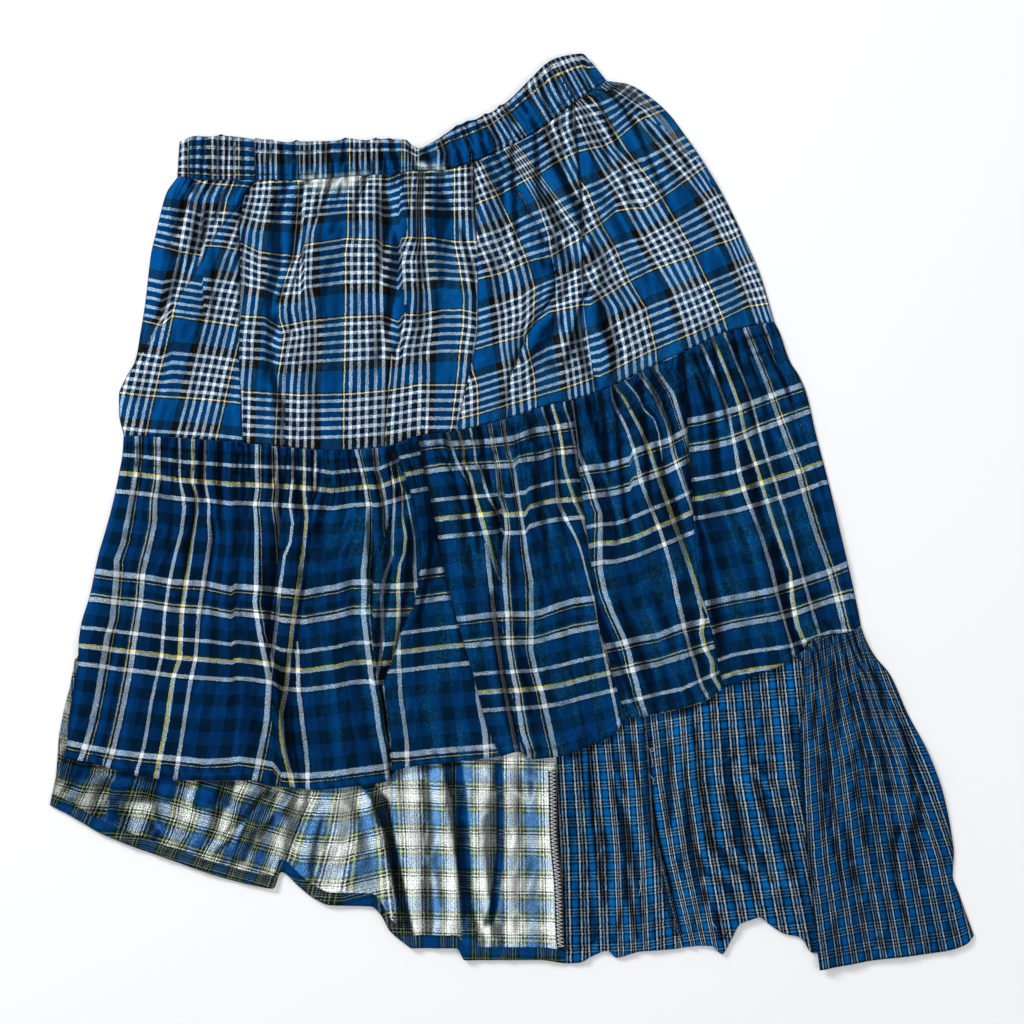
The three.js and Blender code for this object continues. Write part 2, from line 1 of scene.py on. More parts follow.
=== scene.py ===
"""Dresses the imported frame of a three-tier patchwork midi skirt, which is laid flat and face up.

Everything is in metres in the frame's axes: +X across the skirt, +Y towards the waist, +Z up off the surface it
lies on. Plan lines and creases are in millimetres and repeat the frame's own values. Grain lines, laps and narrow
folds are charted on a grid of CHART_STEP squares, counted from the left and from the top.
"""

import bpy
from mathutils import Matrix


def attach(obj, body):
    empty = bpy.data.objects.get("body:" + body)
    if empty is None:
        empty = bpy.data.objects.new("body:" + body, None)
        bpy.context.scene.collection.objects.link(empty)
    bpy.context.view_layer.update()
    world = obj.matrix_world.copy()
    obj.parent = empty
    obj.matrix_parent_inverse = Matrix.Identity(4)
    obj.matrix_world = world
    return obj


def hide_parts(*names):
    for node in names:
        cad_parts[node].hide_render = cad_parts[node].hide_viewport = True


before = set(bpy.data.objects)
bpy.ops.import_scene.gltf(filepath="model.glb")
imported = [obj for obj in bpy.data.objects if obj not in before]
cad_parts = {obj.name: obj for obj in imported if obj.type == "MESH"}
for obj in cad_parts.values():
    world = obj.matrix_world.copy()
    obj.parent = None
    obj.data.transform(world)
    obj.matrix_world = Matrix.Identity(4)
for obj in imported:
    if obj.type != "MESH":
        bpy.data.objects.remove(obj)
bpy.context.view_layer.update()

import logging
import math
from dataclasses import dataclass, field, replace
from enum import Enum
from functools import partial
from typing import Callable, Optional, Sequence, Union

import bpy
import numpy as np

log = logging.getLogger("skirt")

MM = 0.001
CHART_STEP = 0.84  # mm
CHART_SIZE = 1024
CHART_CENTRE = 512.5  # the chart square that lies over the frame's origin
CLOTH_THICKNESS = 0.6  # mm, one layer of brushed shirting as it is modelled
FRONT_FLOOR = 1.5  # mm, underside of a front panel that lies flat on the back
SIDE_ROLL = 6.0  # mm
BACK_INSET = 7.0  # mm
HEM_TURN = 11.0  # mm
HEM_ROWS = 4  # rows of faces that the turned hem lies on
HEM_LIFT = 2.4  # mm that a free edge of the front stands off
HEM_REACH = 40.0  # mm over which it comes down
RUFFLE_START = 239.0  # mm, where the ruffle's seam starts on the front's hem

Array = np.ndarray
Path = tuple[tuple[float, float], ...]
OverPlan = Callable[[Array, Array], Array]  # a number for each plan point
Underside = Callable[["Panel", Array, Array, Array, Array], Array]  # height in mm, from x, y and fractions s, t
Value = Union[float, tuple, bpy.types.NodeSocket]

# ---- Plan lines of the frame, in millimetres ----
WAIST_TOP: Path = (
    (-279, 311), (-269, 315), (-250, 316), (-178, 311), (-135, 313), (-90, 312), (-80, 304), (-68, 310),
    (-51, 321), (-17, 336), (0, 349), (16, 365), (33, 379), (50, 384), (59, 385), (64, 381),
)
WAIST_SEAM: Path = (
    (-281, 281), (-250, 278), (-215, 278), (-178, 278), (-141, 281), (-94, 284), (-78, 286), (-61, 286),
    (-36, 292), (-10, 303), (15, 315), (36, 330), (52, 343), (74, 358), (79, 362),
)
YOKE_SEAM: Path = (
    (-326, 64), (-296, 63), (-262, 61), (-226, 58), (-186, 54), (-155, 52), (-109, 54), (-79, 64), (-47, 68),
    (-20, 74), (1, 80), (24, 88), (49, 94), (70, 100), (95, 111), (121, 124), (152, 138), (179, 151), (220, 160),
)
FRONT_HEM: Path = (
    (-376, -207), (-359, -209), (-334, -216), (-314, -221), (-278, -225), (-217, -225), (-200, -230),
    (-183, -231), (-168, -233), (-131, -230), (-106, -226), (-96, -216), (-55, -210), (-10, -205), (6, -201),
    (17, -207), (40, -205), (65, -196), (86, -186), (96, -173), (112, -171), (141, -165), (163, -158),
    (177, -148), (191, -143), (215, -133), (236, -123), (255, -105), (281, -101), (293, -96),
)
BACK_SEAM: Path = (
    (-357, -112), (-278, -150), (-178, -172), (-96, -166), (-10, -154), (65, -144), (158, -118), (286, -98),
)
COVER_LINE: Path = tuple(p for p in FRONT_HEM if p[0] < 220) + ((250, -140), (310, -135))
TARTAN_HEM: Path = (
    (-388, -246), (-370, -255), (-346, -269), (-320, -280), (-286, -292), (-252, -304), (-219, -313), (-200, -316),
    (-194, -302), (-178, -315), (-168, -323), (-152, -330), (-118, -331), (-110, -338), (-103, -351), (-90, -362),
    (-84, -366), (-46, -366), (-40, -376), (23, -376), (46, -379),
)
CHECK_HEM: Path = (
    (46, -379), (57, -378), (67, -373), (81, -368), (87, -374), (107, -369), (134, -367), (158, -364), (168, -364),
    (176, -371), (184, -359), (191, -346), (201, -342), (208, -340), (216, -346), (229, -354), (242, -357),
    (252, -370), (300, -368), (340, -364), (382, -352),
)
RUFFLE_HEM: Path = (
    (258, -385), (268, -383), (285, -380), (302, -377), (336, -373), (369, -368), (382, -363), (388, -356),
)
YOKE_LEFT: Path = (
    (-281, 281), (-290, 268), (-295, 251), (-299, 234), (-303, 217), (-308, 175), (-312, 150), (-316, 128),
    (-325, 111), (-330, 98), (-330, 84), (-326, 64),
)
YOKE_RIGHT: Path = (
    (79, 362), (95, 360), (111, 352), (131, 335), (144, 318), (156, 301), (176, 268), (193, 234), (208, 200),
    (218, 167), (220, 160),
)
MIDDLE_LEFT: Path = (
    (-326, 64), (-327, 49), (-330, 32), (-335, 8), (-342, -18), (-347, -35), (-354, -68), (-363, -102),
    (-364, -126), (-367, -141), (-370, -160), (-372, -174), (-373, -192), (-376, -207),
)
MIDDLE_RIGHT: Path = (
    (220, 160), (225, 150), (230, 135), (234, 125), (240, 116), (247, 100), (255, 66), (268, 16), (276, -18),
    (284, -52), (291, -85), (293, -96),
)
RUFFLE_LEFT: Path = (
    (239, -119), (245, -130), (246, -149), (242, -183), (242, -216), (246, -267), (250, -309), (254, -351),
    (258, -385),
)
RUFFLE_RIGHT: Path = (
    (293, -96), (297, -107), (304, -120), (317, -136), (332, -169), (350, -203), (362, -236), (369, -270),
    (371, -287), (370, -305), (375, -320), (388, -356),
)
TARTAN_LEFT: Path = (
    (-357, -112), (-368, -126), (-370, -141), (-375, -160), (-378, -174), (-381, -192), (-382, -207),
    (-383, -220), (-386, -235), (-388, -246),
)
YOKE_SEAM_1: Path = ((-215, 278), (-225, 262), (-228, 237), (-228, 178), (-229, 128), (-227, 94), (-226, 58))
YOKE_SEAM_2: Path = ((-32, 294), (-31, 259), (-29, 216), (-29, 157), (-36, 116), (-47, 68))
YOKE_SEAM_3: Path = ((52, 343), (55, 304), (59, 237), (60, 178), (65, 136), (70, 100))
MIDDLE_SEAM_1: Path = (
    (-79, 64), (-74, 36), (-68, 10), (-57, -49), (-47, -88), (-31, -142), (-23, -173), (-10, -205),
)
MIDDLE_SEAM_2: Path = ((49, 94), (54, 63), (58, 20), (65, -33), (74, -102), (82, -130), (96, -173))
MIDDLE_SEAM_3: Path = ((143, 134), (147, 81), (149, 47), (156, -51), (168, -101), (177, -148))
TARTAN_SEAM: Path = ((32, -151), (37, -205), (38, -267), (42, -320), (43, -355), (46, -379))
CHECK_SEAM: Path = ((108, -134), (112, -171), (119, -257), (131, -310), (145, -366))


# ---- Small mathematics ----
def smooth(f: Array) -> Array:
    """Eases 0..1 with level ends; values outside are held at the ends."""
    f = np.clip(f, 0.0, 1.0)
    return f * f * (3.0 - 2.0 * f)


def read_line(rows: Path, q: Array, by: int) -> Array:
    """Reads a plan line as a monotone cubic.

    Args:
        rows: The line's points.
        q: Where to read it.
        by: 0 to read y at an x, 1 to read x at a y.

    Returns:
        The other coordinate at each q.
    """
    table = np.array(rows, float)
    if table[0, by] > table[-1, by]:
        table = table[::-1]
    a, b = table[:, by], table[:, 1 - by]
    slope = np.diff(b) / np.diff(a)
    before, after = slope[:-1], slope[1:]
    total = np.where(before + after == 0, 1.0, before + after)
    inner = np.where(before * after <= 0, 0.0, 2 * before * after / total)
    tangent = np.concatenate([slope[:1], inner, slope[-1:]])
    k = np.clip(np.searchsorted(a, q, side="right") - 1, 0, len(a) - 2)
    span = a[k + 1] - a[k]
    f = np.clip((q - a[k]) / span, 0.0, 1.0)
    return (
        (1 + 2 * f) * (1 - f) ** 2 * b[k]
        + f * (1 - f) ** 2 * span * tangent[k]
        + f**2 * (3 - 2 * f) * b[k + 1]
        + f**2 * (f - 1) * span * tangent[k + 1]
    )


def inset(rows: Path, by: float) -> Path:
    """A plan line moved sideways by some millimetres."""
    return tuple((x + by, y) for x, y in rows)


def display(code: str) -> tuple[float, float, float]:
    """The 0..1 screen values of an RGB hex code."""
    return tuple(int(code[i : i + 2], 16) / 255 for i in (0, 2, 4))


def opaque(code: str) -> tuple[float, float, float, float]:
    """The screen values of an RGB hex code, with alpha 1."""
    return (*display(code), 1.0)


def linear(code: str) -> tuple[float, float, float, float]:
    """The linear colour of an RGB hex code, with alpha 1."""
    values = [c / 12.92 if c <= 0.04045 else ((c + 0.055) / 1.055) ** 2.4 for c in display(code)]
    return (*values, 1.0)


def to_plan(cx: float, cy: float) -> tuple[float, float]:
    """The plan point of a chart square, in millimetres."""
    return (cx - CHART_CENTRE) * CHART_STEP, (CHART_CENTRE - cy) * CHART_STEP


def to_chart(x: Array, y: Array) -> tuple[Array, Array]:
    """The chart squares of plan points."""
    return x / CHART_STEP + CHART_CENTRE, CHART_CENTRE - y / CHART_STEP


@dataclass(frozen=True)
class Crease:
    """A fold through three plan points, `width` to the side where it has mostly fallen away and `height` tall."""

    x0: float
    y0: float
    x1: float
    y1: float
    x2: float
    y2: float
    width: float
    height: float
    steep: int  # side that drops sharply: -1 the right as one looks along it, 1 the left, 0 neither

    def rise(self, x: Array, y: Array) -> Array:
        """Height that the fold adds at plan points, in millimetres.

        Args:
            x: Plan x of the points.
            y: Plan y of the points.

        Returns:
            The added heights.
        """
        segments = 8
        f = np.arange(segments + 1) / segments
        px = (1 - f) ** 2 * self.x0 + 2 * f * (1 - f) * (2 * self.x1 - (self.x0 + self.x2) / 2) + f**2 * self.x2
        py = (1 - f) ** 2 * self.y0 + 2 * f * (1 - f) * (2 * self.y1 - (self.y0 + self.y2) / 2) + f**2 * self.y2
        off = np.full(x.shape, np.inf)
        along = np.zeros(x.shape)
        side = np.zeros(x.shape)
        for i in range(segments):
            dx, dy = px[i + 1] - px[i], py[i + 1] - py[i]
            g = np.clip(((x - px[i]) * dx + (y - py[i]) * dy) / (dx * dx + dy * dy), 0, 1)
            ox, oy = x - px[i] - g * dx, y - py[i] - g * dy
            distance = np.hypot(ox, oy)
            nearer = distance < off
            off = np.where(nearer, distance, off)
            along = np.where(nearer, (i + g) / segments, along)
            side = np.where(nearer, np.sign(dx * oy - dy * ox), side)
        width = np.where((self.steep != 0) & (side == self.steep), self.width / 3, self.width)
        taper = smooth(along / 0.2) * smooth((1 - along) / 0.25)
        return self.height * np.exp(-((off / width) ** 2)) * taper


def planned(*rows: tuple[float, ...]) -> tuple[Crease, ...]:
    """Creases from rows of their fields."""
    return tuple(Crease(*row) for row in rows)


YOKE_CREASES = planned(
    (-224, 275, -279, 179, -326, 101, 20, 5.5, -1), (-257, 277, -272, 240, -280, 215, 8, 2.5, 0),
    (-157, 263, -194, 143, -168, 66, 16, 4.5, -1), (-107, 277, -92, 205, -112, 107, 12, 4.5, -1),
    (-61, 279, -30, 216, -29, 150, 11, 3.5, -1), (7, 288, 28, 240, 32, 205, 12, 3.5, 1),
    (30, 293, 52, 243, 65, 205, 10, 5, 1), (65, 205, 50, 160, 38, 120, 10, 5, 1),
    (59, 190, 62, 150, 74, 105, 10, 4, -1), (95, 343, 153, 299, 185, 250, 12, 3, -1),
    (90, 300, 135, 210, 165, 150, 22, 3, 0),
)
MIDDLE_CREASES = planned(
    (-327, 40, -345, -60, -368, -160, 14, 3, 0), (-222, -20, -205, -131, -190, -232, 14, 5.5, 1),
    (-183, 10, -188, -60, -200, -137, 10, 4, -1), (-128, 30, -119, -110, -104, -220, 12, 5, 1),
    (-96, 20, -99, -60, -111, -147, 10, 4, -1), (-80, 20, -74, -40, -93, -104, 9, 4, 1),
    (-13, 30, -21, -23, -10, -75, 9, 4.5, 1), (-13, -65, 2, -157, 15, -204, 10, 4.5, -1),
    (95, 60, 100, 20, 118, -50, 11, 3, 0), (70, -60, 95, -125, 112, -171, 9, 4, -1),
    (138, 60, 160, -60, 172, -140, 9, 4, 1), (179, 84, 188, 34, 197, -20, 9, 3, 0),
    (223, -10, 233, -60, 243, -112, 9, 3.5, -1), (262, 20, 277, -23, 286, -79, 7, 2.5, 0),
)
TARTAN_CREASES = planned(
    (-190, -225, -216, -257, -250, -296, 10, 3.5, -1), (-165, -225, -172, -262, -192, -302, 10, 4, -1),
    (-126, -226, -112, -280, -92, -358, 9, 3.5, 1), (-103, -222, -92, -290, -80, -356, 10, 4, -1),
    (-63, -212, -53, -275, -42, -360, 9, 4, 1), (-31, -240, -30, -300, -20, -350, 8, 3, 0),
    (-10, -207, -8, -286, -14, -352, 9, 3.5, -1), (-330, -222, -318, -245, -305, -280, 9, 2.5, 0),
    (-270, -228, -262, -260, -258, -296, 12, 2, 0),
)
CHECK_CREASES = planned(
    (72, -195, 90, -290, 81, -360, 9, 3.5, 1), (95, -195, 112, -275, 123, -345, 9, 3.5, 1),
    (135, -168, 142, -231, 135, -300, 8, 3, 0), (147, -180, 155, -268, 178, -318, 9, 3.5, -1),
    (188, -204, 195, -250, 226, -308, 9, 3.5, -1), (195, -219, 208, -259, 238, -330, 9, 3.5, 1),
    (160, -300, 176, -330, 178, -358, 8, 3, -1),
)
RUFFLE_CREASES = planned(
    (311, -159, 330, -215, 324, -272, 9, 3.5, 1), (284, -168, 280, -240, 308, -332, 9, 3, 0),
    (252, -186, 248, -240, 264, -341, 9, 3.5, -1), (342, -170, 352, -240, 350, -330, 10, 3, 0),
    (330, -262, 326, -300, 338, -350, 9, 3, -1),
)


def pinched(*rows: tuple[float, ...]) -> tuple[Crease, ...]:
    """Narrow folds from rows of three chart squares, a width and a height."""
    folds = []
    for *squares, width, height in rows:
        points = [to_plan(*square) for square in zip(squares[::2], squares[1::2])]
        folds.append(Crease(*points[0], *points[1], *points[2], width, height, 0))
    return tuple(folds)


YOKE_PINCHES = pinched(
    (279.5, 303, 285, 328, 294, 393, 3, 1.4), (268, 337, 285, 356, 308, 379, 3, 1.2),
    (291, 263, 279, 294, 277, 328, 4, 1.7), (308, 226, 302, 249, 291, 283, 3.5, 1.4),
    (277, 354, 282, 385, 305, 424, 3.5, 1.4), (195, 204, 186, 226, 176, 255, 3.5, 1.4),
    (181, 187, 192, 198, 203, 221, 3, 1.2), (264, 198, 268, 215, 267, 238, 3, 1.3),
    (359, 200, 362, 214, 365, 230, 3, 1.1), (405, 172, 389, 255, 382, 319, 4, 2.0),
    (382, 319, 384.5, 356, 378, 402, 3.5, 1.5), (525, 172, 548, 223, 587, 259, 4, 1.6),
    (559, 126, 580, 167, 586, 218, 4, 2.2), (586, 218, 580, 273, 552, 328, 5, 2.6),
    (566, 301, 534, 338, 511, 402, 4, 2.0), (598, 259, 592, 296, 590, 328, 4, 2.0),
    (590, 328, 605, 356, 598, 388, 4, 2.0), (585, 98, 608, 140, 649, 200, 4, 1.5),
    (548, 140, 552, 181, 566, 218, 3.5, 1.3), (626, 108, 663, 140, 695, 200, 3.5, 1.0),
    (424, 195, 426, 232, 419, 273, 3, 1.2), (362, 230, 359, 260, 359, 300, 3, 0.9),
)
TARTAN_PINCHES = pinched(
    (201, 855, 243, 826, 272, 792, 3.5, 2.0), (238, 865, 253, 831, 295, 800, 3, 1.6),
    (97, 810, 110, 789, 118, 776, 3, 1.6), (289, 857, 307, 819, 318, 789, 3, 1.8),
    (304, 884, 313, 834, 327, 804, 3, 1.7), (318, 887, 321, 843, 333, 798, 3, 1.6),
    (366, 801, 372, 822, 392, 834, 3, 1.8), (378, 819, 387, 869, 404, 922, 4, 2.0),
    (469, 804, 481, 863, 487, 922, 3, 1.6), (502, 763, 503, 849, 487, 922, 3, 1.6),
    (472, 869, 478, 911, 493, 946, 3, 1.4), (150, 800, 158, 825, 180, 840, 3, 1.3),
    (185, 792, 205, 806, 228, 804, 3, 1.2), (60, 800, 75, 792, 90, 776, 3, 1.3),
)
CHECK_PINCHES = pinched(
    (604.5, 743, 616, 783, 644, 847, 4, 1.9), (596, 780, 610, 830, 635, 886, 4, 1.9),
    (644, 847, 658, 872, 655, 914, 3.5, 1.9), (633, 726, 647, 774, 661, 830, 3.5, 1.7),
    (675, 760, 677.5, 802, 675, 847, 3.5, 1.7), (686, 707, 693, 774, 697, 830, 4, 1.9),
    (697, 830, 708, 858, 759, 898, 4, 2.2), (734, 707, 742, 746, 746, 774, 4, 2.1),
    (746, 774, 756, 802, 793, 892, 4, 2.3), (700, 872, 714, 898, 720, 914, 3.5, 1.9),
    (748, 766, 764, 783, 793, 822, 3.5, 1.5), (720, 830, 734, 853, 787, 903, 3.5, 1.7),
    (575, 760, 580, 820, 577, 900, 4, 1.2), (662, 800, 668, 850, 690, 905, 4, 1.8),
    (716, 700, 720, 760, 724, 800, 4, 1.4),
)
RUFFLE_PINCHES = pinched(
    (845, 671, 843, 711, 852, 765, 4, 1.9), (852, 765, 849, 808, 871, 888, 4, 2.1),
    (885, 682, 900, 758, 921, 823, 4, 1.7), (918, 779, 907, 823, 896, 874, 4, 1.7),
    (823, 837, 834, 881, 827, 932, 4, 1.5), (925, 794, 939, 823, 950, 866, 3.5, 1.3),
    (871, 888, 881, 917, 878, 939, 3.5, 1.5), (812, 665, 822, 700, 812, 760, 4, 1.7),
    (862, 655, 872, 690, 880, 740, 3.5, 1.4),
)
MIDDLE_PINCHES = pinched(
    (186, 470, 178, 520, 183, 600, 4, 1.3), (256, 520, 262, 610, 272, 700, 4, 1.4),
    (292, 470, 288, 540, 276, 620, 4, 1.4), (372, 480, 378, 560, 372, 640, 4, 1.5),
    (410, 490, 404, 550, 398, 610, 4, 1.4), (488, 470, 496, 540, 510, 610, 4, 1.3),
    (540, 460, 552, 530, 560, 600, 4, 1.4), (608, 450, 622, 520, 640, 590, 4, 1.3),
    (664, 420, 680, 480, 700, 560, 4, 1.2), (742, 400, 760, 470, 776, 540, 4, 1.2),
)


def creased(creases: Sequence[Crease], x: Array, y: Array) -> Array:
    """Folds meet without piling up: their heights are joined as a sum of fourth powers."""
    total = np.zeros(x.shape)
    for crease in creases:
        total += crease.rise(x, y) ** 4
    return total**0.25


def gathers(s: Array, t: Array, count: int, height: float, reach: float) -> Array:
    """Unevenly spaced waves across a panel.

    Args:
        s: Fraction across the panel.
        t: Fraction down the panel.
        count: How many waves.
        height: Their height at the gathered edge, in millimetres.
        reach: The fraction down the panel at which they are gone.

    Returns:
        The added heights.
    """
    return (
        (height / 2)
        * (1 - np.cos(2 * np.pi * (count * s + 0.22 * np.sin(22 * s + count))))
        * (0.75 + 0.25 * np.sin(7 * s + count))
        * (1 - smooth(t / reach))
        * smooth(s * 12)
        * smooth((1 - s) * 12)
    )


def roll(distance: Array) -> Array:
    """Share of its height that the front cloth has at a distance in from a side fold."""
    return np.sqrt(1 - (1 - np.clip(distance / SIDE_ROLL, 0, 1)) ** 2)


# ---- Grain lines ----
@dataclass(frozen=True)
class Grain:
    """A thread of the cloth that is charted: its place in the pattern in millimetres, and where it runs."""

    at: float
    path: Path


@dataclass(frozen=True)
class Breadth:
    """Cloth between two laps, with its lengthwise grain lines from left to right."""

    grains: tuple[Grain, ...]
    lap: Path = ()  # the lap at its right side, from top to bottom
    rise: float = 0.0  # mm by which the cloth right of that lap lies higher; below 0 it is the left that does
    picks: tuple[Grain, ...] = ()  # its own crosswise grain lines


@dataclass(frozen=True)
class Layout:
    """How a panel's cloth lies: from its charted grain lines to a place in its pattern."""

    breadths: tuple[Breadth, ...]
    picks: tuple[Grain, ...]
    across: int = 1  # 1 where the pattern's places grow to the right, -1 where the cloth is turned
    down: int = 1
    fullness: float = 1.0  # mm of cloth per mm of plan at the gathered edge
    eased_by: float = 0.0  # chart row by which the fullness has gone

    def breadth_at(self, x: Array, y: Array) -> Array:
        """Number of the breadth that each plan point is in."""
        cx, cy = to_chart(x, y)
        index = np.zeros(x.shape, int)
        for breadth in self.breadths[:-1]:
            rows = np.array(breadth.lap)
            index += cx > np.interp(cy, rows[:, 1], rows[:, 0])
        return index

    def lap_distance(self, number: int, x: Array, y: Array) -> Array:
        """Millimetres to the right of the lap after a breadth."""
        cx, cy = to_chart(x, y)
        rows = np.array(self.breadths[number].lap)
        return (cx - np.interp(cy, rows[:, 1], rows[:, 0])) * CHART_STEP

    def place(self, x: Array, y: Array, breadth: Array) -> tuple[Array, Array]:
        """Places in the pattern.

        Args:
            x: Plan x of the points.
            y: Plan y of the points.
            breadth: The breadth that each point belongs to.

        Returns:
            The place across and the place down the pattern of each point, in millimetres.
        """
        cx, cy = to_chart(x, y)
        ease = 1.0 + (self.fullness - 1.0) * (1 - smooth((cy - self._top()) / max(self.eased_by - self._top(), 1.0)))
        u, v = np.zeros(x.shape), np.zeros(x.shape)
        for number, piece in enumerate(self.breadths):
            mine = breadth == number
            if not mine.any():
                continue
            u[mine] = self._between(piece.grains, cx[mine], cy[mine], 0, self.across * ease[mine])
            v[mine] = self._between(piece.picks or self.picks, cy[mine], cx[mine], 1, self.down * 1.0)
        return u, v

    def _top(self) -> float:
        """Highest chart row of any grain line."""
        return min(p[1] for piece in self.breadths for g in piece.grains for p in g.path)

    @staticmethod
    def _between(grains: Sequence[Grain], q: Array, along: Array, axis: int, natural: Union[float, Array]) -> Array:
        """Reads the pattern between grain lines, and goes on at its natural spacing beyond them."""
        lines = []
        for grain in grains:
            rows = np.array(sorted(grain.path, key=lambda p: p[1 - axis]), float)
            lines.append(np.interp(along, rows[:, 1 - axis], rows[:, axis]))
        result = grains[0].at + (q - lines[0]) * CHART_STEP * natural
        for k, (grain, line) in enumerate(zip(grains, lines)):
            if k + 1 < len(grains):
                gap = np.maximum(lines[k + 1] - line, 0.5)
                beyond = grain.at + (q - line) * (grains[k + 1].at - grain.at) / gap
            else:
                beyond = grain.at + (q - line) * CHART_STEP * natural
            result = np.where(q > line, beyond, result)
        return result


def squares(row: Sequence[float]) -> Path:
    """Chart squares from a row of their columns and rows in turn."""
    return tuple(zip(row[::2], row[1::2]))


def grains(rows: Sequence[tuple[float, ...]]) -> tuple[Grain, ...]:
    """Grain lines from rows, each a place in the pattern and then the squares that the thread runs through."""
    return tuple(Grain(row[0], squares(row[1:])) for row in rows)


def breadth(*rows: tuple[float, ...], lap: tuple[float, ...] = (), picks: tuple = ()) -> Breadth:
    """A breadth from rows of its grain lines, with its rise and then the squares of the lap at its right."""
    return Breadth(grains(rows), squares(lap[1:]), lap[0] if lap else 0.0, grains(picks))


def layout(*breadths: Breadth, picks: tuple, **turned: float) -> Layout:
    """A layout from breadths and rows of crosswise grain lines."""
    return Layout(breadths, grains(picks), **turned)


def charted(line: Path) -> tuple[float, ...]:
    """The chart squares of a plan line, as a row."""
    return tuple(value for point in line for value in to_chart(*point))


def plain_layout(across: float, down: float) -> Layout:
    """A layout for cloth that hangs straight, with the pattern's start at a chart square."""
    return layout(breadth((0, across, 0, across, CHART_SIZE)), picks=((0, 0, down, CHART_SIZE, down),))


YOKE_1 = layout(
    breadth(
        (32, 203, 178, 190.8, 200, 184.7, 236, 179.7, 261, 173.8, 286, 168.9, 311, 160, 326, 150, 349, 140, 375,
         132, 400),
        (0, 238, 176, 228, 200, 222.5, 236, 216, 261, 210, 286, 206, 311, 198, 326, 190, 349, 180, 375, 172, 400),
        lap=(1.6, 256, 178, 250, 198, 241, 205, 229, 222, 219.5, 233, 205, 261, 190, 285, 178, 302, 166, 319, 147, 350,
             138, 362, 112, 400, 100, 440),
    ),
    breadth(
        (0, 232, 200, 216, 222, 207, 236, 192, 261, 184, 285, 178, 302, 172, 329, 167, 350.5, 163, 365, 160, 377,
         152, 410, 146, 440),
        (-30, 250, 200, 240, 222, 236.5, 233, 226, 261, 214.5, 296, 208.7, 319, 200.4, 350.5, 194, 377, 186, 410,
         178, 440),
        (-62, 282, 200, 275, 233, 262, 261, 251, 296, 245, 319, 237.7, 350.5, 231, 377, 224, 410, 217, 440),
    ),
    picks=(
        (65, 150, 176, 188, 178, 204.5, 184, 222, 186, 240, 187, 260, 189),
        (0, 140, 243, 156, 246, 181, 252.7, 204, 257, 205, 247, 226, 248.5, 241, 251, 256, 252),
        (-65, 130, 320, 144, 322, 163, 326.5, 174, 317.4, 206, 321.5, 238, 326.5, 256, 328),
        (-130, 110, 392, 143, 396, 206, 400, 244, 404),
    ),
    across=-1, down=-1, fullness=1.15, eased_by=260,
)
YOKE_2 = layout(
    breadth(
        (-30, 271, 186, 270, 198, 262, 234, 260, 258, 259.5, 286, 256.5, 311, 253, 336, 252, 360, 250, 385, 249, 440),
        (0, 299, 186, 299, 198, 296.8, 228, 294, 258, 285, 286, 280.8, 302, 280.8, 319, 286, 336, 282, 360, 279, 378,
         276, 440),
        (18, 324, 186, 321, 198, 315, 234, 311, 258, 304, 286, 300, 311, 303, 336, 301, 360, 299, 378, 297, 440),
        lap=(1.3, 334, 178, 327, 201, 316.6, 219.5, 311.5, 234.4, 307.3, 247.7, 302, 262, 297, 278, 293, 294,
             290.5, 308, 292, 330, 288, 356, 286, 384, 284, 440),
    ),
    breadth(
        (5.1, 299, 178, 300, 234, 293, 258, 290.8, 286, 286, 311, 292.5, 335, 287.5, 360, 285, 385, 283, 440),
        (32, 330, 178, 322, 200, 313, 234, 311.5, 258, 310.7, 286, 314.8, 311, 315.6, 336, 315.6, 360, 314, 385,
         313, 440),
        (62, 349, 178, 348.8, 236, 346.3, 253, 346.3, 302, 345.5, 352, 344.5, 390, 344, 440),
        (94, 381, 178, 380.7, 198, 381.5, 262, 381.5, 297, 382.5, 327, 384, 350, 384, 380, 383, 440),
        lap=(1.5, 412, 178, 408, 229, 405, 240, 401.5, 254, 400.6, 266, 403, 278, 404.7, 297, 407, 309, 404.7, 319,
             401.5, 327, 399.7, 344, 394, 354, 392, 356, 389, 380, 386, 440),
    ),
    breadth(
        (124, 408, 175, 408, 238, 400, 255, 398, 266, 399, 297, 400, 327, 393, 350, 390.6, 380, 388, 400, 386, 440),
        (136, 419, 178, 417.5, 198, 417.5, 240, 412, 262, 413.8, 297, 411, 327, 405.6, 350, 403, 380, 400, 440),
        (156, 424, 178, 424, 215, 426, 262, 429.6, 297, 431, 327, 428, 350, 428.8, 380, 427, 440),
        (186, 455, 178, 455, 243, 459, 262, 464.4, 297, 463.6, 327, 460.3, 350, 457.8, 380, 454, 410, 450, 440),
    ),
    picks=(
        (-65, 240, 185, 300, 182, 346, 181, 390, 180, 405, 174, 440, 173, 478, 168),
        (0, 240, 244, 243, 244.6, 260, 253, 294, 257, 303, 258, 304, 247, 309, 246, 346, 239.7, 378, 240.3, 384, 246,
         400, 248.6, 402, 240, 408, 238.7, 433, 238.7, 456, 242.8, 478, 243),
        (65, 240, 316.7, 265, 318, 281, 328, 309, 322, 346, 318, 383, 316.6, 400, 323, 404, 316, 420, 315.8, 443, 310.8,
         463, 310.8, 478, 314),
        (130, 240, 392, 300, 396, 350, 394.6, 390, 391, 421, 385.4, 470, 385.4),
    ),
    fullness=1.3, eased_by=280,
)
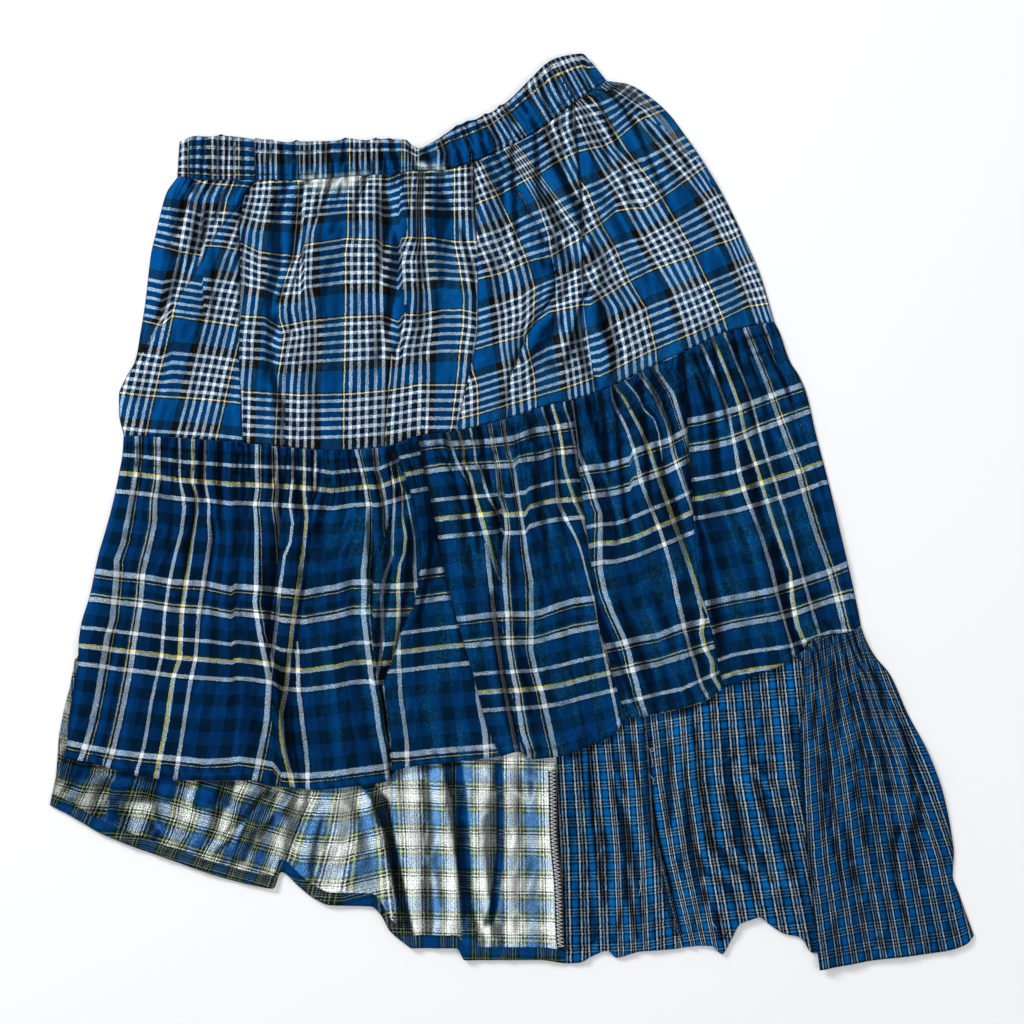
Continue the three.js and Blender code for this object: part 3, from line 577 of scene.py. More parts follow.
YOKE_3 = layout(
    breadth(
        (62, 430, 140, 440, 198, 452, 242, 464, 276, 468, 316, 469, 340, 471, 357, 473.5, 372, 477.7, 385, 478.5, 399,
         479, 430),
        (32, 453, 140, 465, 198, 479.4, 242, 488, 262, 493, 276, 497, 300, 500, 316, 502, 347, 506, 372, 508, 400,
         509, 430),
        (0, 468, 140, 477.7, 156.6, 499, 198, 515.8, 233, 528, 262.7, 535, 289, 534, 319, 530, 337, 530, 356, 533, 380,
         536, 430),
        lap=(1.4, 486, 140, 496, 156.6, 519, 193, 534, 219.6, 547.4, 247.8, 552.3, 259.4, 556, 275, 555.6, 294,
             537.4, 320.8, 527.4, 335.7, 523, 347, 516, 364, 509, 380.5, 508, 430),
    ),
    breadth(
        (5, 480, 140, 500, 170, 520, 200, 536, 233, 530, 262, 533, 289, 529, 319, 522, 335, 523, 347, 528, 364,
         529, 380.5, 532, 430),
        (0, 484, 140, 504, 170, 524, 200, 540, 233, 535, 262, 537, 289, 533, 319, 528, 335, 527.4, 347, 532, 364,
         535, 380.5, 538, 430),
        (-30, 498, 140, 518, 170, 538, 205, 549, 238, 556, 281, 558, 306, 560, 328, 564, 347, 568, 372, 571, 400,
         574, 430),
        (-62, 512, 140, 514, 143, 539, 175, 562, 206, 582, 233, 587, 262, 590, 306, 594, 347, 598, 372, 601, 400,
         604, 430),
        (-92, 546, 128, 560, 160, 578, 196, 594, 226, 606, 262, 612, 306, 616, 347, 620, 400),
    ),
    picks=(
        (0, 440, 232, 473.5, 206, 499, 196, 539, 175, 554, 165, 590, 146),
        (-65, 440, 290, 480, 280, 502.6, 274, 528, 262.7, 552, 257, 553, 256, 582, 239.5, 590, 236),
        (-130, 440, 360, 473.5, 351, 499, 343, 523, 337, 536, 322, 549, 313, 582, 306, 592, 304),
        (-195, 440, 424, 480, 414, 520, 402, 565.6, 388.8, 598.8, 377),
    ),
    across=-1, down=-1, fullness=1.1, eased_by=260,
)
YOKE_4 = layout(
    breadth(
        (62, 545, 96, 560, 121, 566.6, 136, 575, 149.5, 577, 176, 588, 192.6, 600, 222.5, 616, 250, 629.6, 282,
         646, 308.7, 656, 350, 660, 400),
        (32, 556, 90, 570, 105, 580, 125, 590, 148, 607, 176, 622, 200, 634, 222, 649.5, 250, 673.5, 290, 684, 320,
         692, 350, 700, 390),
        (5, 568, 86, 592, 112, 614.7, 148, 640, 176, 654.5, 200, 668, 222, 687, 250, 704, 290, 716, 320, 726, 350),
        (0, 578, 84, 604.7, 115, 626, 150, 652, 184, 662.8, 200, 676, 222, 691.8, 250, 711, 290, 724, 320, 734, 350),
        (-30, 597, 84, 630, 110, 662.8, 150, 688, 178, 705, 200, 716, 222, 730, 250, 746.5, 290, 757, 320, 766, 350),
        (-57, 612, 84, 644, 100, 678, 126, 706, 160, 725.8, 200, 738, 222, 749, 250, 768, 290, 778, 320, 786, 350),
        lap=(-0.8, 606, 84, 611, 101, 633, 116, 663, 128, 684, 153, 699, 161, 712, 186, 760, 260, 800, 350),
    ),
    breadth(
        (-35, 600, 80, 628, 96, 651, 112, 668, 133, 690, 164, 716, 205, 760, 270, 800, 350),
        (-62, 616, 80, 636, 92, 656, 111, 668, 125, 678, 141, 700, 170, 730, 215, 775, 280, 815, 350),
    ),
    picks=(
        (0, 560, 156, 576.5, 153, 591.5, 149.5, 604.7, 147, 616, 141, 639.6, 121.3, 662.8, 112, 690, 100),
        (-65, 570, 246, 599.8, 225.8, 616, 212.5, 629.6, 210, 644.5, 210, 662.8, 198.4, 691, 177.7, 704.2, 168.6,
         730, 150),
        (-130, 590, 306, 629.6, 282, 649.5, 272, 681, 260.6, 694.3, 255.6, 715.8, 245.7, 732.4, 240.7, 745.7, 233,
         770, 220),
        (-195, 600, 377, 650, 352, 700, 331, 746.5, 307.9, 772.2, 303.7),
    ),
    across=-1, down=-1, fullness=1.1, eased_by=200,
)
MIDDLE_1 = layout(
    breadth(
        (0, 138, 440, 138, 460, 133, 498, 124.7, 543, 118, 560, 118, 576, 113.8, 620, 108.9, 636.6, 103, 670, 98, 699.6,
         93, 723, 86.8, 746, 82.3, 759, 78, 775),
        (25, 161.5, 440, 162, 480, 158, 500, 157.8, 523, 152.9, 546, 146, 573, 143.7, 602.5, 138.8, 634, 133, 673,
         127, 703, 121.3, 729.5, 116.3, 751, 111.4, 766, 108, 780),
        (50.4, 183, 440, 183.5, 480, 187.7, 495, 189, 510, 186, 533, 178.6, 561, 173.6, 583, 169, 612, 166, 657,
         161, 677, 155.3, 703, 149, 746, 141.2, 774, 140, 785),
        (65, 196, 440, 196, 466, 194.7, 481, 199, 496, 199.3, 513, 195.2, 539.5, 191.8, 566, 185.2, 612.5, 183, 659,
         176.4, 678, 170.2, 723, 162.8, 761, 159, 785),
        (81, 208, 440, 207.7, 480, 212, 503, 212, 520, 214.6, 539.5, 210, 566, 202.6, 612.5, 200.6, 641, 198.9, 660,
         194.6, 681, 189.3, 713, 182.7, 759, 179, 785),
        (147.8, 258, 440, 258, 490, 255.7, 506, 257.3, 528, 257.3, 589, 255.7, 602, 261, 635, 268, 666, 270.6, 681,
         268, 719.5, 263.9, 741, 259.8, 761, 255, 785),
        lap=(1.4, 290, 440, 284, 490, 281, 520, 279, 560, 272, 610, 268.5, 640, 272.5, 670, 274.5, 690, 273, 713,
             275, 736, 280.5, 769, 282, 785),
    ),
    breadth(
        (198.2, 296, 440, 296.3, 480, 293.5, 506, 296.8, 523, 294.7, 543, 288.9, 556, 283.9, 592.6, 281.4, 620.8,
         277.2, 654, 274.8, 680.5, 270, 700, 268, 740, 274, 769, 276, 785),
        (213, 307, 440, 307, 494.7, 309.6, 518, 306.3, 552.8, 303, 582.6, 296.3, 622.4, 292.2, 657, 288.9, 692,
         284.2, 713, 285.2, 733, 288, 752.7, 293.8, 772.6, 297, 790),
        lap=(0.9, 314, 440, 314, 500, 311.5, 523, 309, 556, 305.5, 589, 299.8, 624, 296.6, 650, 295, 680, 293, 700,
             294, 730, 300, 770, 303, 790),
    ),
    breadth(
        (228.8, 318, 440, 318, 490, 311.4, 506, 300, 530, 290, 560, 292, 600, 299, 632, 301.4, 655.6, 302.7, 693,
         305.5, 716, 308.9, 742.6, 311.4, 765.8, 312, 790),
        (295.6, 354, 440, 362.8, 473, 366, 488, 369, 506, 368.6, 533, 367, 552.8, 364.4, 572.7, 365.3, 589, 364.4, 614,
         368, 645, 370.7, 664.7, 373.5, 686, 376.9, 703, 380.2, 729.4, 384.3, 749.3, 387.6, 765.8, 390, 785),
        (320.6, 378, 440, 380.2, 471.5, 385.7, 489.8, 388.5, 509.7, 389, 528, 395, 556, 394, 600, 397, 650, 403, 690,
         410, 740, 416, 785),
        lap=(0.8, 391, 440, 392, 480, 393, 505, 388, 528, 379, 556, 373.3, 580, 373.2, 640, 376, 668, 380, 690,
             386, 705, 390, 733, 392, 785),
    ),
    breadth(
        (346, 387, 440, 396.8, 484.8, 397.6, 506, 396, 539.5, 396, 556, 387.6, 581, 386, 597.5, 386.8, 622.4,
         386.8, 645.6, 382.7, 669, 379, 689, 376, 730, 375, 785),
        (360.8, 392, 440, 404.2, 490, 404.2, 518, 408.4, 537.8, 406.7, 552.8, 401.7, 566, 400.9, 586, 401.7, 606,
         401.2, 622.4, 400, 635.7, 396.8, 645.6, 394, 680, 392, 730, 392, 785),
        (376.8, 391, 436, 391, 450, 397.6, 465, 403.4, 483, 409.2, 501.4, 413.4, 519.6, 416.7, 539.5, 417.8, 556,
         418.5, 572.7, 422, 600, 422, 785),
        lap=(2.0, 396, 436, 396, 450, 402, 465, 408, 483, 414, 501, 418, 520, 421, 540, 421.5, 556, 420, 577,
             416.7, 592, 415.8, 605, 411.7, 611.6, 405.9, 621.6, 400.9, 633, 397.6, 645, 392.6, 661, 386.8, 674.6,
             382.7, 688, 385.2, 703, 389.3, 733, 391.8, 762.5, 394, 785),
    ),
    breadth(
        (376.8, 391, 436, 391, 450, 397.6, 465, 403.4, 483, 409.2, 501.4, 413.4, 519.6, 416.7, 539.5, 417.5, 556,
         414, 575, 402, 600, 401.5, 620, 402.6, 638, 403.4, 673, 405, 699.5, 407.5, 716, 410.9, 741, 412, 785),
        (443.4, 440, 436, 452, 500, 462, 560, 472, 630, 477, 672, 479.7, 702.8, 485.5, 732.7, 487, 754, 489, 785),
        picks=(
            (-97.4, 395, 463, 420, 457.4, 440, 452),
            (-66.8, 400, 497, 424, 493, 445, 490),
            (0, 395, 577, 425.8, 572.7, 445.7, 570, 470, 567),
            (147.8, 385, 755.5, 411, 754.2, 432, 751.7, 464, 749.3, 485.5, 747.6, 500, 746),
        ),
    ),
    picks=(
        (-97.4, 115, 458, 138, 460, 162.8, 463, 183.5, 465.7, 207.6, 467.4, 234, 469.5, 296.3, 471.8, 319.7, 474.5,
         333, 476.8, 349.5, 475, 381, 472.3, 397.6, 465, 420, 457.4),
        (0, 96.5, 571.8, 118, 574.7, 146, 577.6, 174.4, 582.6, 207.6, 584.3, 232.5, 590, 235.8, 586.8, 257.3, 588.4,
         304.7, 593.4, 316.3, 591, 336.2, 587.6, 352.8, 582.6, 372.7, 582.6, 373.8, 586.8, 396, 586.8, 415.8, 586),
        (147.8, 60, 741, 86.5, 746.9, 116.3, 752.3, 146.2, 756, 182.7, 759.3, 204.2, 761.8, 225.8, 761, 240.7, 759.3,
         259, 761.8, 273.9, 764.3, 282.2, 775, 293.8, 775.9, 311.4, 775.8, 332.9, 774, 356, 770.8, 386, 766.7,
         394, 764),
    ),
    fullness=1.5, eased_by=600,
)
MIDDLE_2 = layout(
    breadth(
        (81, 445.6, 431.5, 449, 446, 455, 462, 470, 490, 480, 520, 484, 543, 486.5, 570, 490, 600, 491.2, 615.6,
         495, 643, 499.9, 676, 503.2, 692.7, 505.7, 709, 509.9, 729, 514, 750.7, 516, 760),
        lap=(0.9, 452, 428, 456, 446, 460, 462, 468, 480, 472, 500, 477, 520, 484, 540, 489, 550, 493, 570, 496, 600,
             497, 615, 501, 643, 505, 676, 508, 693, 511, 709, 515, 729, 520, 751, 522, 760),
    ),
    breadth(
        (65, 457, 428, 462.2, 448, 463, 463, 470.5, 479.6, 474.6, 499.5, 479.6, 519.4, 484.6, 537.6, 490.4, 556,
         499.5, 580.8, 502, 620, 507, 660, 513, 700, 522, 752),
        (50.4, 468, 428, 472, 444.8, 473.8, 463, 479.6, 473, 482.9, 487.9, 487, 499.5, 496.2, 514.4, 499, 522.7,
         506, 545, 514, 580, 520, 640, 530, 700, 540, 752),
        lap=(1.4, 481, 428, 484, 445, 486, 463, 491, 480, 495, 500, 500, 520, 501, 540, 499.5, 560, 499.5, 580,
             500, 600, 502.5, 620, 504, 645, 507.5, 673, 512, 693, 514.5, 709, 518.5, 734, 524, 752),
    ),
    breadth(
        (25, 488, 425, 491.2, 443, 495.4, 461.4, 497, 483, 498.7, 496, 504.5, 513, 506, 531, 503.6, 546, 502.8, 566,
         503.6, 591, 506, 614, 507.4, 646, 511.5, 673, 515.7, 692.7, 517.3, 709, 521.5, 734, 528, 752),
        (0, 504, 425, 506, 440, 510.3, 456.4, 514.4, 469.7, 516.9, 483, 519, 499.5, 521.9, 517.7, 524.4, 534.3,
         526.9, 554, 531.8, 582.4, 531.8, 615.6, 531, 650, 536.4, 674.4, 542.2, 692.7, 546.3, 711, 551.3, 732.5,
         556.3, 755.7),
        (-66.8, 541, 410, 546.8, 426.5, 550, 439.8, 554, 455, 554.5, 475, 555, 491, 556.7, 506, 564, 521, 574, 537.6,
         580.8, 554, 586, 575, 593, 600.7, 598.6, 630, 606, 670, 622, 752),
        (-82.8, 551, 406.6, 556.7, 425, 560.9, 446.4, 562.5, 466.3, 567.5, 484.6, 574, 502.8, 581.6, 519.4, 588, 541,
         590.7, 562.5, 602, 600, 610, 640, 640, 752),
    ),
    picks=(
        (0, 410, 446, 444.8, 442.3, 449.8, 444.8, 471.3, 443.4, 491.2, 442.3, 514.4, 439, 532.7, 431.5, 557.5, 428,
         575, 425),
        (25, 418, 477, 426.5, 474.6, 441.5, 472, 458, 470.5, 496, 468.8, 514.4, 468.3, 519.4, 463, 541, 460.5,
         554, 455.6, 575.8, 454),
        (65, 430, 523, 449.8, 520.7, 478, 518, 497.8, 516, 503, 513, 504, 518, 526, 517, 529.4, 510.3, 541, 506,
         554.2, 503.6, 580, 502),
        (147.8, 450, 620.5, 474.6, 617.6, 489.6, 615.6, 506, 614.3, 532.7, 614.8, 541, 613, 557.5, 606.5, 574, 601.5,
         600, 598),
        (212.8, 470, 696, 501.6, 693.5, 514.8, 692.7, 541.4, 691, 562.9, 687.7, 582.8, 682, 607.7, 676, 625, 672),
    ),
    across=-1, fullness=1.5, eased_by=560,
)
MIDDLE_3 = layout(
    breadth(
        (147.8, 572, 400, 577.4, 449.8, 585.7, 468, 592.4, 486, 595.7, 499.5, 601, 514, 601, 530, 600.5, 550,
         600.5, 570, 605.6, 594, 612.3, 612, 624.3, 638, 629.3, 653, 632.6, 669.5, 636, 680, 640.9, 701, 645.8, 714),
        (81, 611, 400, 614.9, 411.5, 621.6, 423, 627, 437, 631.5, 451, 638, 483, 649.8, 512.7, 658, 532.6, 663, 549,
         669.7, 574, 674.6, 602, 681, 627, 686.5, 644.6, 692.3, 663, 699, 686, 707.2, 701),
        (65, 613.3, 388, 621.6, 398, 631.5, 416.5, 639, 430, 646.4, 448, 655.6, 474.5, 666.3, 506, 673, 526, 679.6, 544,
         687, 566, 693.9, 586.5, 700.6, 614.7, 699, 633, 702.2, 648, 709.7, 661, 710.5, 676, 720.5, 693),
        lap=(0.8, 618, 380, 634, 403, 648, 428, 656, 443, 662, 457, 667, 480, 675, 500, 682, 520, 689, 550, 697, 580,
             701.5, 603, 704.5, 620, 708, 645, 714, 661, 722, 690),
    ),
    breadth(
        (50.4, 622, 380, 636.5, 398, 643, 411.5, 653, 419.8, 658, 434.7, 660.5, 454.6, 660, 480, 664, 520, 684, 570,
         702.2, 608, 707.2, 619.7, 712.2, 636.3, 724, 690),
        (25, 638, 376, 641.5, 380, 653, 396.6, 659.7, 413, 665.5, 424.8, 668, 436.4, 671.3, 454.6, 676.3, 469.6,
         687, 499.4, 692, 512.7, 712, 570, 730, 620),
        (0, 656, 370, 663, 380, 673, 395, 683, 428, 690, 450, 706, 520, 740, 620),
    ),
    picks=(
        (0, 560, 476, 577.4, 471.3, 585.7, 468.8, 607.3, 466.3, 630.5, 459.7, 632.2, 453, 645.4, 448, 668, 441.4,
         683, 433, 690, 429),
        (65, 580, 551, 601.5, 546, 615.6, 546, 637, 540, 656.4, 531, 673, 524, 695, 514),
        (147.8, 590, 652, 606, 647, 624.3, 643, 637.5, 639.6, 657.4, 636.3, 680.7, 627, 699, 623, 712, 620),
        (198.2, 610, 709, 621, 706.8, 640.9, 701.8, 662.4, 696.8, 682.3, 692.7, 699, 685, 720.5, 675),
        (210.4, 620, 721, 645.8, 718, 680, 711, 706, 703.5, 724, 690),
    ),
    across=-1, fullness=1.4, eased_by=540,
)
MIDDLE_4 = layout(
    breadth(
        (81, 699, 345, 714.4, 380, 726, 411.5, 731, 438, 736, 474.5, 741.8, 494.4, 749.3, 512.7, 759.2, 537.5,
         767.5, 565.7, 774.3, 593, 782.6, 619.6, 787.6, 638, 791.7, 656, 798, 690),
        (65, 711, 340, 727.7, 380, 737.6, 408, 742.6, 433, 755, 467.9, 760.9, 487.8, 766.7, 507.7, 775.8, 536, 784, 559,
         789, 572.4, 790, 600, 794.2, 626, 802.5, 643, 812, 690),
        (50.4, 722, 335, 741, 380, 749.3, 401.6, 756.7, 433, 765.8, 464.6, 772.5, 482.8, 778.3, 502.7, 787.4, 531,
         794.9, 559, 800.7, 582.3, 809, 610.5, 816.6, 636, 830, 690),
        (25, 742, 328, 763.3, 380, 769, 396.6, 779, 426.4, 789.9, 456.3, 797.3, 476, 802.3, 496, 813.9, 534, 827.2, 571,
         835.5, 602, 842.3, 630, 852, 690),
        lap=(-0.8, 766, 328, 782.4, 383, 795.7, 413, 815.6, 471, 832, 529, 842, 570.7, 850, 600, 858, 640),
    ),
    breadth(
        (-14, 766, 328, 782.4, 383, 795.7, 413, 815.6, 471, 832, 529, 842, 570.7, 850, 600, 858, 640),
    ),
    picks=(
        (0, 680, 423, 702.8, 419, 714.4, 415.7, 736, 409.9, 749.3, 404.9, 767.5, 398, 782.4, 392.4, 802.3, 385.8),
        (25, 685, 453, 716, 448.8, 731, 444.7, 746, 438.9, 755.9, 433.9, 777.4, 426.4, 794, 419.8, 812.3, 413),
        (65, 690, 503, 714.4, 498.6, 736, 494.4, 759.2, 487, 772.5, 482.8, 797.3, 475.4, 823.9, 465.4),
        (147.8, 700, 605, 706, 604, 729.4, 599, 757.5, 594, 774, 590.6, 799, 582.3, 827.2, 573, 850, 563),
        (198.2, 712, 667, 719.6, 663.5, 732.9, 658.6, 756, 654.4, 789.3, 650.3, 830, 636),
    ),
    across=-1, fullness=1.3, eased_by=480,
)
TARTAN_LAYOUT = layout(
    breadth(
        (0, 66.6, 760, 60, 782.5, 52, 800, 44, 815),
        (36, 103, 760, 101.4, 774, 93, 790.8, 86.5, 805.7, 80, 820, 74, 835),
        (72, 150, 760, 149.5, 779, 144.5, 799, 137.9, 819, 132.9, 832, 127, 850),
        (108, 192, 760, 191, 784, 186, 802, 184.3, 815.7, 177.7, 835.6, 171, 847, 163, 865),
        (144, 238, 760, 235.7, 781, 229, 802, 224, 827, 215.8, 844, 209, 857, 198, 880),
        (180, 284, 760, 278.8, 784, 265.6, 802, 256, 830, 247, 850, 235, 890),
        (216, 310, 760, 304.7, 794, 294.8, 809, 279.9, 839, 273, 858.7, 260, 890),
        (252, 345, 760, 344.5, 790.7, 342.9, 807, 339.6, 832, 332.9, 858.7, 320, 905),
        (288, 386, 760, 386, 785.7, 382.7, 815.6, 387.6, 832, 391, 848.8, 398, 900, 404, 945),
        lap=(1.2, 392, 740, 392, 800, 393, 850, 398, 900, 404, 950),
    ),
    breadth(
        (288, 404, 740, 407, 800, 410, 850, 412, 950),
        (306, 431, 740, 433, 800, 434, 950),
        (324, 448, 740, 449, 950),
        lap=(-0.8, 456, 740, 458, 820, 459, 950),
    ),
    breadth(
        (342, 462, 740, 464, 950),
        (360, 480, 740, 482, 950),
        (378, 499, 740, 500, 950),
        lap=(1.0, 502.5, 740, 503, 950),
    ),
    breadth(
        (396, 508, 740, 509, 950),
        (432, 544, 740, 548, 950),
    ),
    picks=(
        (0, 44, 785, 54, 790, 83, 799, 143, 803, 183, 814, 226, 826, 279, 841, 300, 848, 343, 850, 390, 838, 520, 841,
         560, 842),
    ),
)
CHECK_LAYOUT = layout(
    breadth(
        (0, 552, 740, 554, 780, 558, 850, 560, 950),
        (45, 600, 720, 606, 780, 612, 850, 616, 950),
        (90, 640, 700, 646, 780, 650, 850, 654, 950),
        lap=(0.6, 643, 690, 650, 780, 660, 860, 682, 950),
    ),
    breadth(
        (105, 645, 690, 655, 780, 668, 860, 690, 950),
        (150, 690, 690, 694.5, 780, 706, 860, 722, 950),
        (180, 722, 680, 730, 780, 744, 860, 760, 950),
        (225, 772, 660, 784, 780, 800, 860, 818, 950),
    ),
    picks=(
        (0, 540, 760, 640, 756, 700, 745, 820, 736, 970, 730),
    ),
)
RUFFLE_LAYOUT = layout(
    breadth(
        (0, 800, 640, 800, 700, 802, 780, 806, 860, 820, 970),
        (60, 828, 635, 832, 680, 848, 760, 860, 860, 880, 970),
        (105, 848, 630, 860, 680, 884, 760, 904, 860, 924, 970),
        (150, 864, 630, 884, 690, 920, 780, 948, 860, 974, 970),
    ),
    picks=(
        (0, 797, 657, 861, 627),
        (264, *charted(RUFFLE_HEM)),
    ),
    fullness=1.4, eased_by=760,
)
BAND_SHORT = layout(
    breadth(
        (0, 189.6, 100, 189.6, 200),
        (-62, 240.2, 100, 240.2, 200),
    ),
    picks=(
        (30, *charted(WAIST_TOP)),
        (-4, *charted(WAIST_SEAM)),
    ),
    across=-1, down=-1, fullness=1.25, eased_by=400,
)
BAND_LONG = layout(
    breadth(
        (-62, 250.9, 100, 250.9, 200),
        (0, 300.7, 100, 300.7, 200),
        (62, 350.5, 100, 350.5, 200),
        (124, 402.7, 100, 402.7, 200),
        (160, 421, 100, 421, 200),
        lap=(0.3, 437, 100, 437, 200),
    ),
    breadth(
        (62, 455, 112, 472, 154),
        (0, 497, 94, 530, 142),
        (-62, 548, 56, 588, 128),
        picks=(
            (9.3, *charted(WAIST_TOP)),
            (-21.7, *charted(WAIST_SEAM)),
        ),
    ),
    picks=(
        (26.2, *charted(WAIST_TOP)),
        (57, *charted(WAIST_SEAM)),
    ),
    fullness=1.4, eased_by=400,
)


# ---- Cloth patterns ----
@dataclass(frozen=True)
class Sett:
    """Coloured stripes of one direction of a woven pattern, each (millimetres, colour), and where they start."""

    start: float
    stripes: tuple[tuple[float, str], ...]

    @property
    def period(self) -> float:
        """Width of the whole repeat in millimetres."""
        return sum(width for width, _ in self.stripes)


SHIRTING_WHITE, SHIRTING_NAVY, SHIRTING_BLACK = "dce2e8", "001f3a", "17150f"
SHIRTING_BLUE, SHIRTING_YELLOW = "00447c", "ffe9a8"
SHIRTING_WARP = Sett(-1.4, (
    (0.75, SHIRTING_BLACK), (1.3, SHIRTING_YELLOW), (0.75, SHIRTING_BLACK), (2.6, SHIRTING_NAVY),
    (2.6, SHIRTING_WHITE), (4.3, SHIRTING_NAVY), (2.6, SHIRTING_WHITE), (3.9, SHIRTING_NAVY),
    (2.6, SHIRTING_WHITE), (4.4, SHIRTING_NAVY), (2.6, SHIRTING_WHITE), (3.9, SHIRTING_NAVY),
    (2.6, SHIRTING_WHITE), (0.5, SHIRTING_NAVY), (6.0, SHIRTING_BLACK), (20.0, SHIRTING_BLUE), (0.6, SHIRTING_BLACK),
))
SHIRTING_WEFT = Sett(-1.45, (
    (0.8, SHIRTING_BLACK), (1.3, SHIRTING_YELLOW), (0.8, SHIRTING_BLACK), (2.75, SHIRTING_NAVY),
    (2.6, SHIRTING_WHITE), (4.9, SHIRTING_NAVY), (2.6, SHIRTING_WHITE), (4.9, SHIRTING_NAVY),
    (2.6, SHIRTING_WHITE), (4.9, SHIRTING_NAVY), (2.6, SHIRTING_WHITE), (4.9, SHIRTING_NAVY),
    (2.6, SHIRTING_WHITE), (0.7, SHIRTING_NAVY), (7.5, SHIRTING_BLACK), (18.0, SHIRTING_BLUE), (0.55, SHIRTING_BLACK),
))
PANE_WHITE, PANE_YELLOW, PANE_GOLD, PANE_NAVY, PANE_DARK = "dce0e6", "f0d848", "e2d078", "003361", "002035"
WINDOWPANE = Sett(-2.45, (
    (4.5, PANE_WHITE), (1.9, PANE_DARK), (1.1, PANE_GOLD), (1.4, PANE_DARK), (5.0, PANE_NAVY), (5.0, PANE_DARK),
    (1.5, PANE_NAVY), (1.2, PANE_GOLD), (1.8, PANE_DARK), (4.2, PANE_WHITE), (1.4, PANE_DARK), (9.6, PANE_NAVY),
    (9.6, PANE_DARK), (3.1, PANE_WHITE), (11.8, PANE_DARK), (1.7, PANE_YELLOW), (2.6, PANE_WHITE), (11.4, PANE_DARK),
    (3.7, PANE_WHITE), (1.3, PANE_DARK), (10.0, PANE_NAVY), (10.0, PANE_DARK), (11.0, PANE_NAVY), (11.0, PANE_DARK),
    (11.0, PANE_NAVY), (10.0, PANE_DARK), (0.99, PANE_NAVY),
))
DRESS_WHITE, DRESS_BLACK, DRESS_LIME, DRESS_GREY = "f6f9f0", "020502", "b2bf86", "949b99"
DRESS_BLUE, DRESS_GREEN, DRESS_MOSS = "3f78b6", "24423e", "344430"
DRESS_TARTAN = Sett(-18.0, (
    (4.9, DRESS_BLUE), (2.1, DRESS_GREEN), (1.4, DRESS_LIME), (0.9, DRESS_MOSS), (1.35, DRESS_BLACK),
    (1.0, DRESS_WHITE), (1.35, DRESS_BLACK), (1.3, DRESS_WHITE), (0.6, DRESS_GREY), (1.2, DRESS_WHITE),
    (0.6, DRESS_GREY), (3.0, DRESS_WHITE), (0.6, DRESS_GREY), (1.2, DRESS_WHITE), (0.6, DRESS_GREY),
    (1.3, DRESS_WHITE), (1.35, DRESS_BLACK), (1.0, DRESS_WHITE), (1.35, DRESS_BLACK), (0.9, DRESS_MOSS),
    (1.4, DRESS_LIME), (2.1, DRESS_GREEN), (4.9, DRESS_BLUE),
))
FACE_NAVY, FACE_GREEN = "09396c", "0a2624"
TARTAN_FACE = Sett(-18.0, (
    (5.5, FACE_NAVY), (3.2, FACE_GREEN), (0.9, "6f7c4c"), (1.9, "0a0f0a"), (1.0, "7d847c"), (1.1, "0a0f0a"),
    (0.9, "56625f"), (0.9, "10181a"), (0.9, "45525a"), (1.2, "0c1214"), (0.9, "45525a"), (0.9, "10181a"),
    (0.9, "56625f"), (1.1, "0a0f0a"), (1.0, "7d847c"), (1.9, "0a0f0a"), (0.9, "6f7c4c"), (3.2, FACE_GREEN),
    (7.7, FACE_NAVY),
))
CHECK_TEAL = "04385c"
CHECK_BLUE, CHECK_WHITE, CHECK_BLACK, CHECK_GREY, CHECK_LINE = "045a9c", "c2ced6", "000409", "848a90", "6a9cbe"
SMALL_CHECK = Sett(-1.6, (
    (2.3, CHECK_BLUE), (0.5, CHECK_TEAL), (1.5, CHECK_BLACK), (1.2, CHECK_WHITE), (1.6, CHECK_BLACK),
    (1.1, CHECK_GREY), (1.7, CHECK_BLACK), (1.2, CHECK_WHITE), (1.5, CHECK_BLACK), (0.5, CHECK_TEAL), (1.9, CHECK_BLUE),
))
SMALL_CHECK_WEFT = Sett(0.0, (
    (2.5, CHECK_BLUE), (0.7, CHECK_TEAL), (1.5, CHECK_BLACK), (1.1, CHECK_LINE), (1.6, CHECK_BLACK), (1.0, CHECK_GREY),
    (1.6, CHECK_BLACK), (1.1, CHECK_LINE), (1.5, CHECK_BLACK), (0.7, CHECK_TEAL), (1.9, CHECK_BLUE),
))
RUFFLE_BLUE, RUFFLE_WHITE, RUFFLE_GREY, RUFFLE_LINE = "03467c", "9eacb6", "626e78", "54809e"
RUFFLE_CHECK = Sett(-1.6, (
    (2.8, RUFFLE_BLUE), (1.5, CHECK_BLACK), (1.2, RUFFLE_WHITE), (1.6, CHECK_BLACK), (1.1, RUFFLE_GREY),
    (1.7, CHECK_BLACK), (1.2, RUFFLE_WHITE), (1.5, CHECK_BLACK), (2.4, RUFFLE_BLUE),
))
RUFFLE_CHECK_WEFT = Sett(0.0, (
    (3.2, RUFFLE_BLUE), (1.5, CHECK_BLACK), (1.1, RUFFLE_LINE), (1.6, CHECK_BLACK), (1.0, RUFFLE_GREY),
    (1.6, CHECK_BLACK), (1.1, RUFFLE_LINE), (1.5, CHECK_BLACK), (2.6, RUFFLE_BLUE),
))


class Socket(Enum):
    """Numbers of the colour sockets on a Mix node, which share their names with others."""

    FACTOR = 0
    FIRST = 6
    SECOND = 7
    RESULT = 2


def add_node(
    tree: bpy.types.NodeTree,
    kind: str,
    settings: Optional[dict] = None,
    inputs: Optional[dict] = None,
) -> bpy.types.Node:
    """Adds a node to a material.

    Args:
        tree: The material's node tree.
        kind: Blender's name for the node type.
        settings: Its properties.
        inputs: A value or an output socket for each input, by name or number.

    Returns:
        The new node.
    """
    node = tree.nodes.new(kind)
    for key, value in (settings or {}).items():
        setattr(node, key, value)
    for key, value in (inputs or {}).items():
        if isinstance(value, bpy.types.NodeSocket):
            tree.links.new(value, node.inputs[key])
        else:
            node.inputs[key].default_value = value
    return node


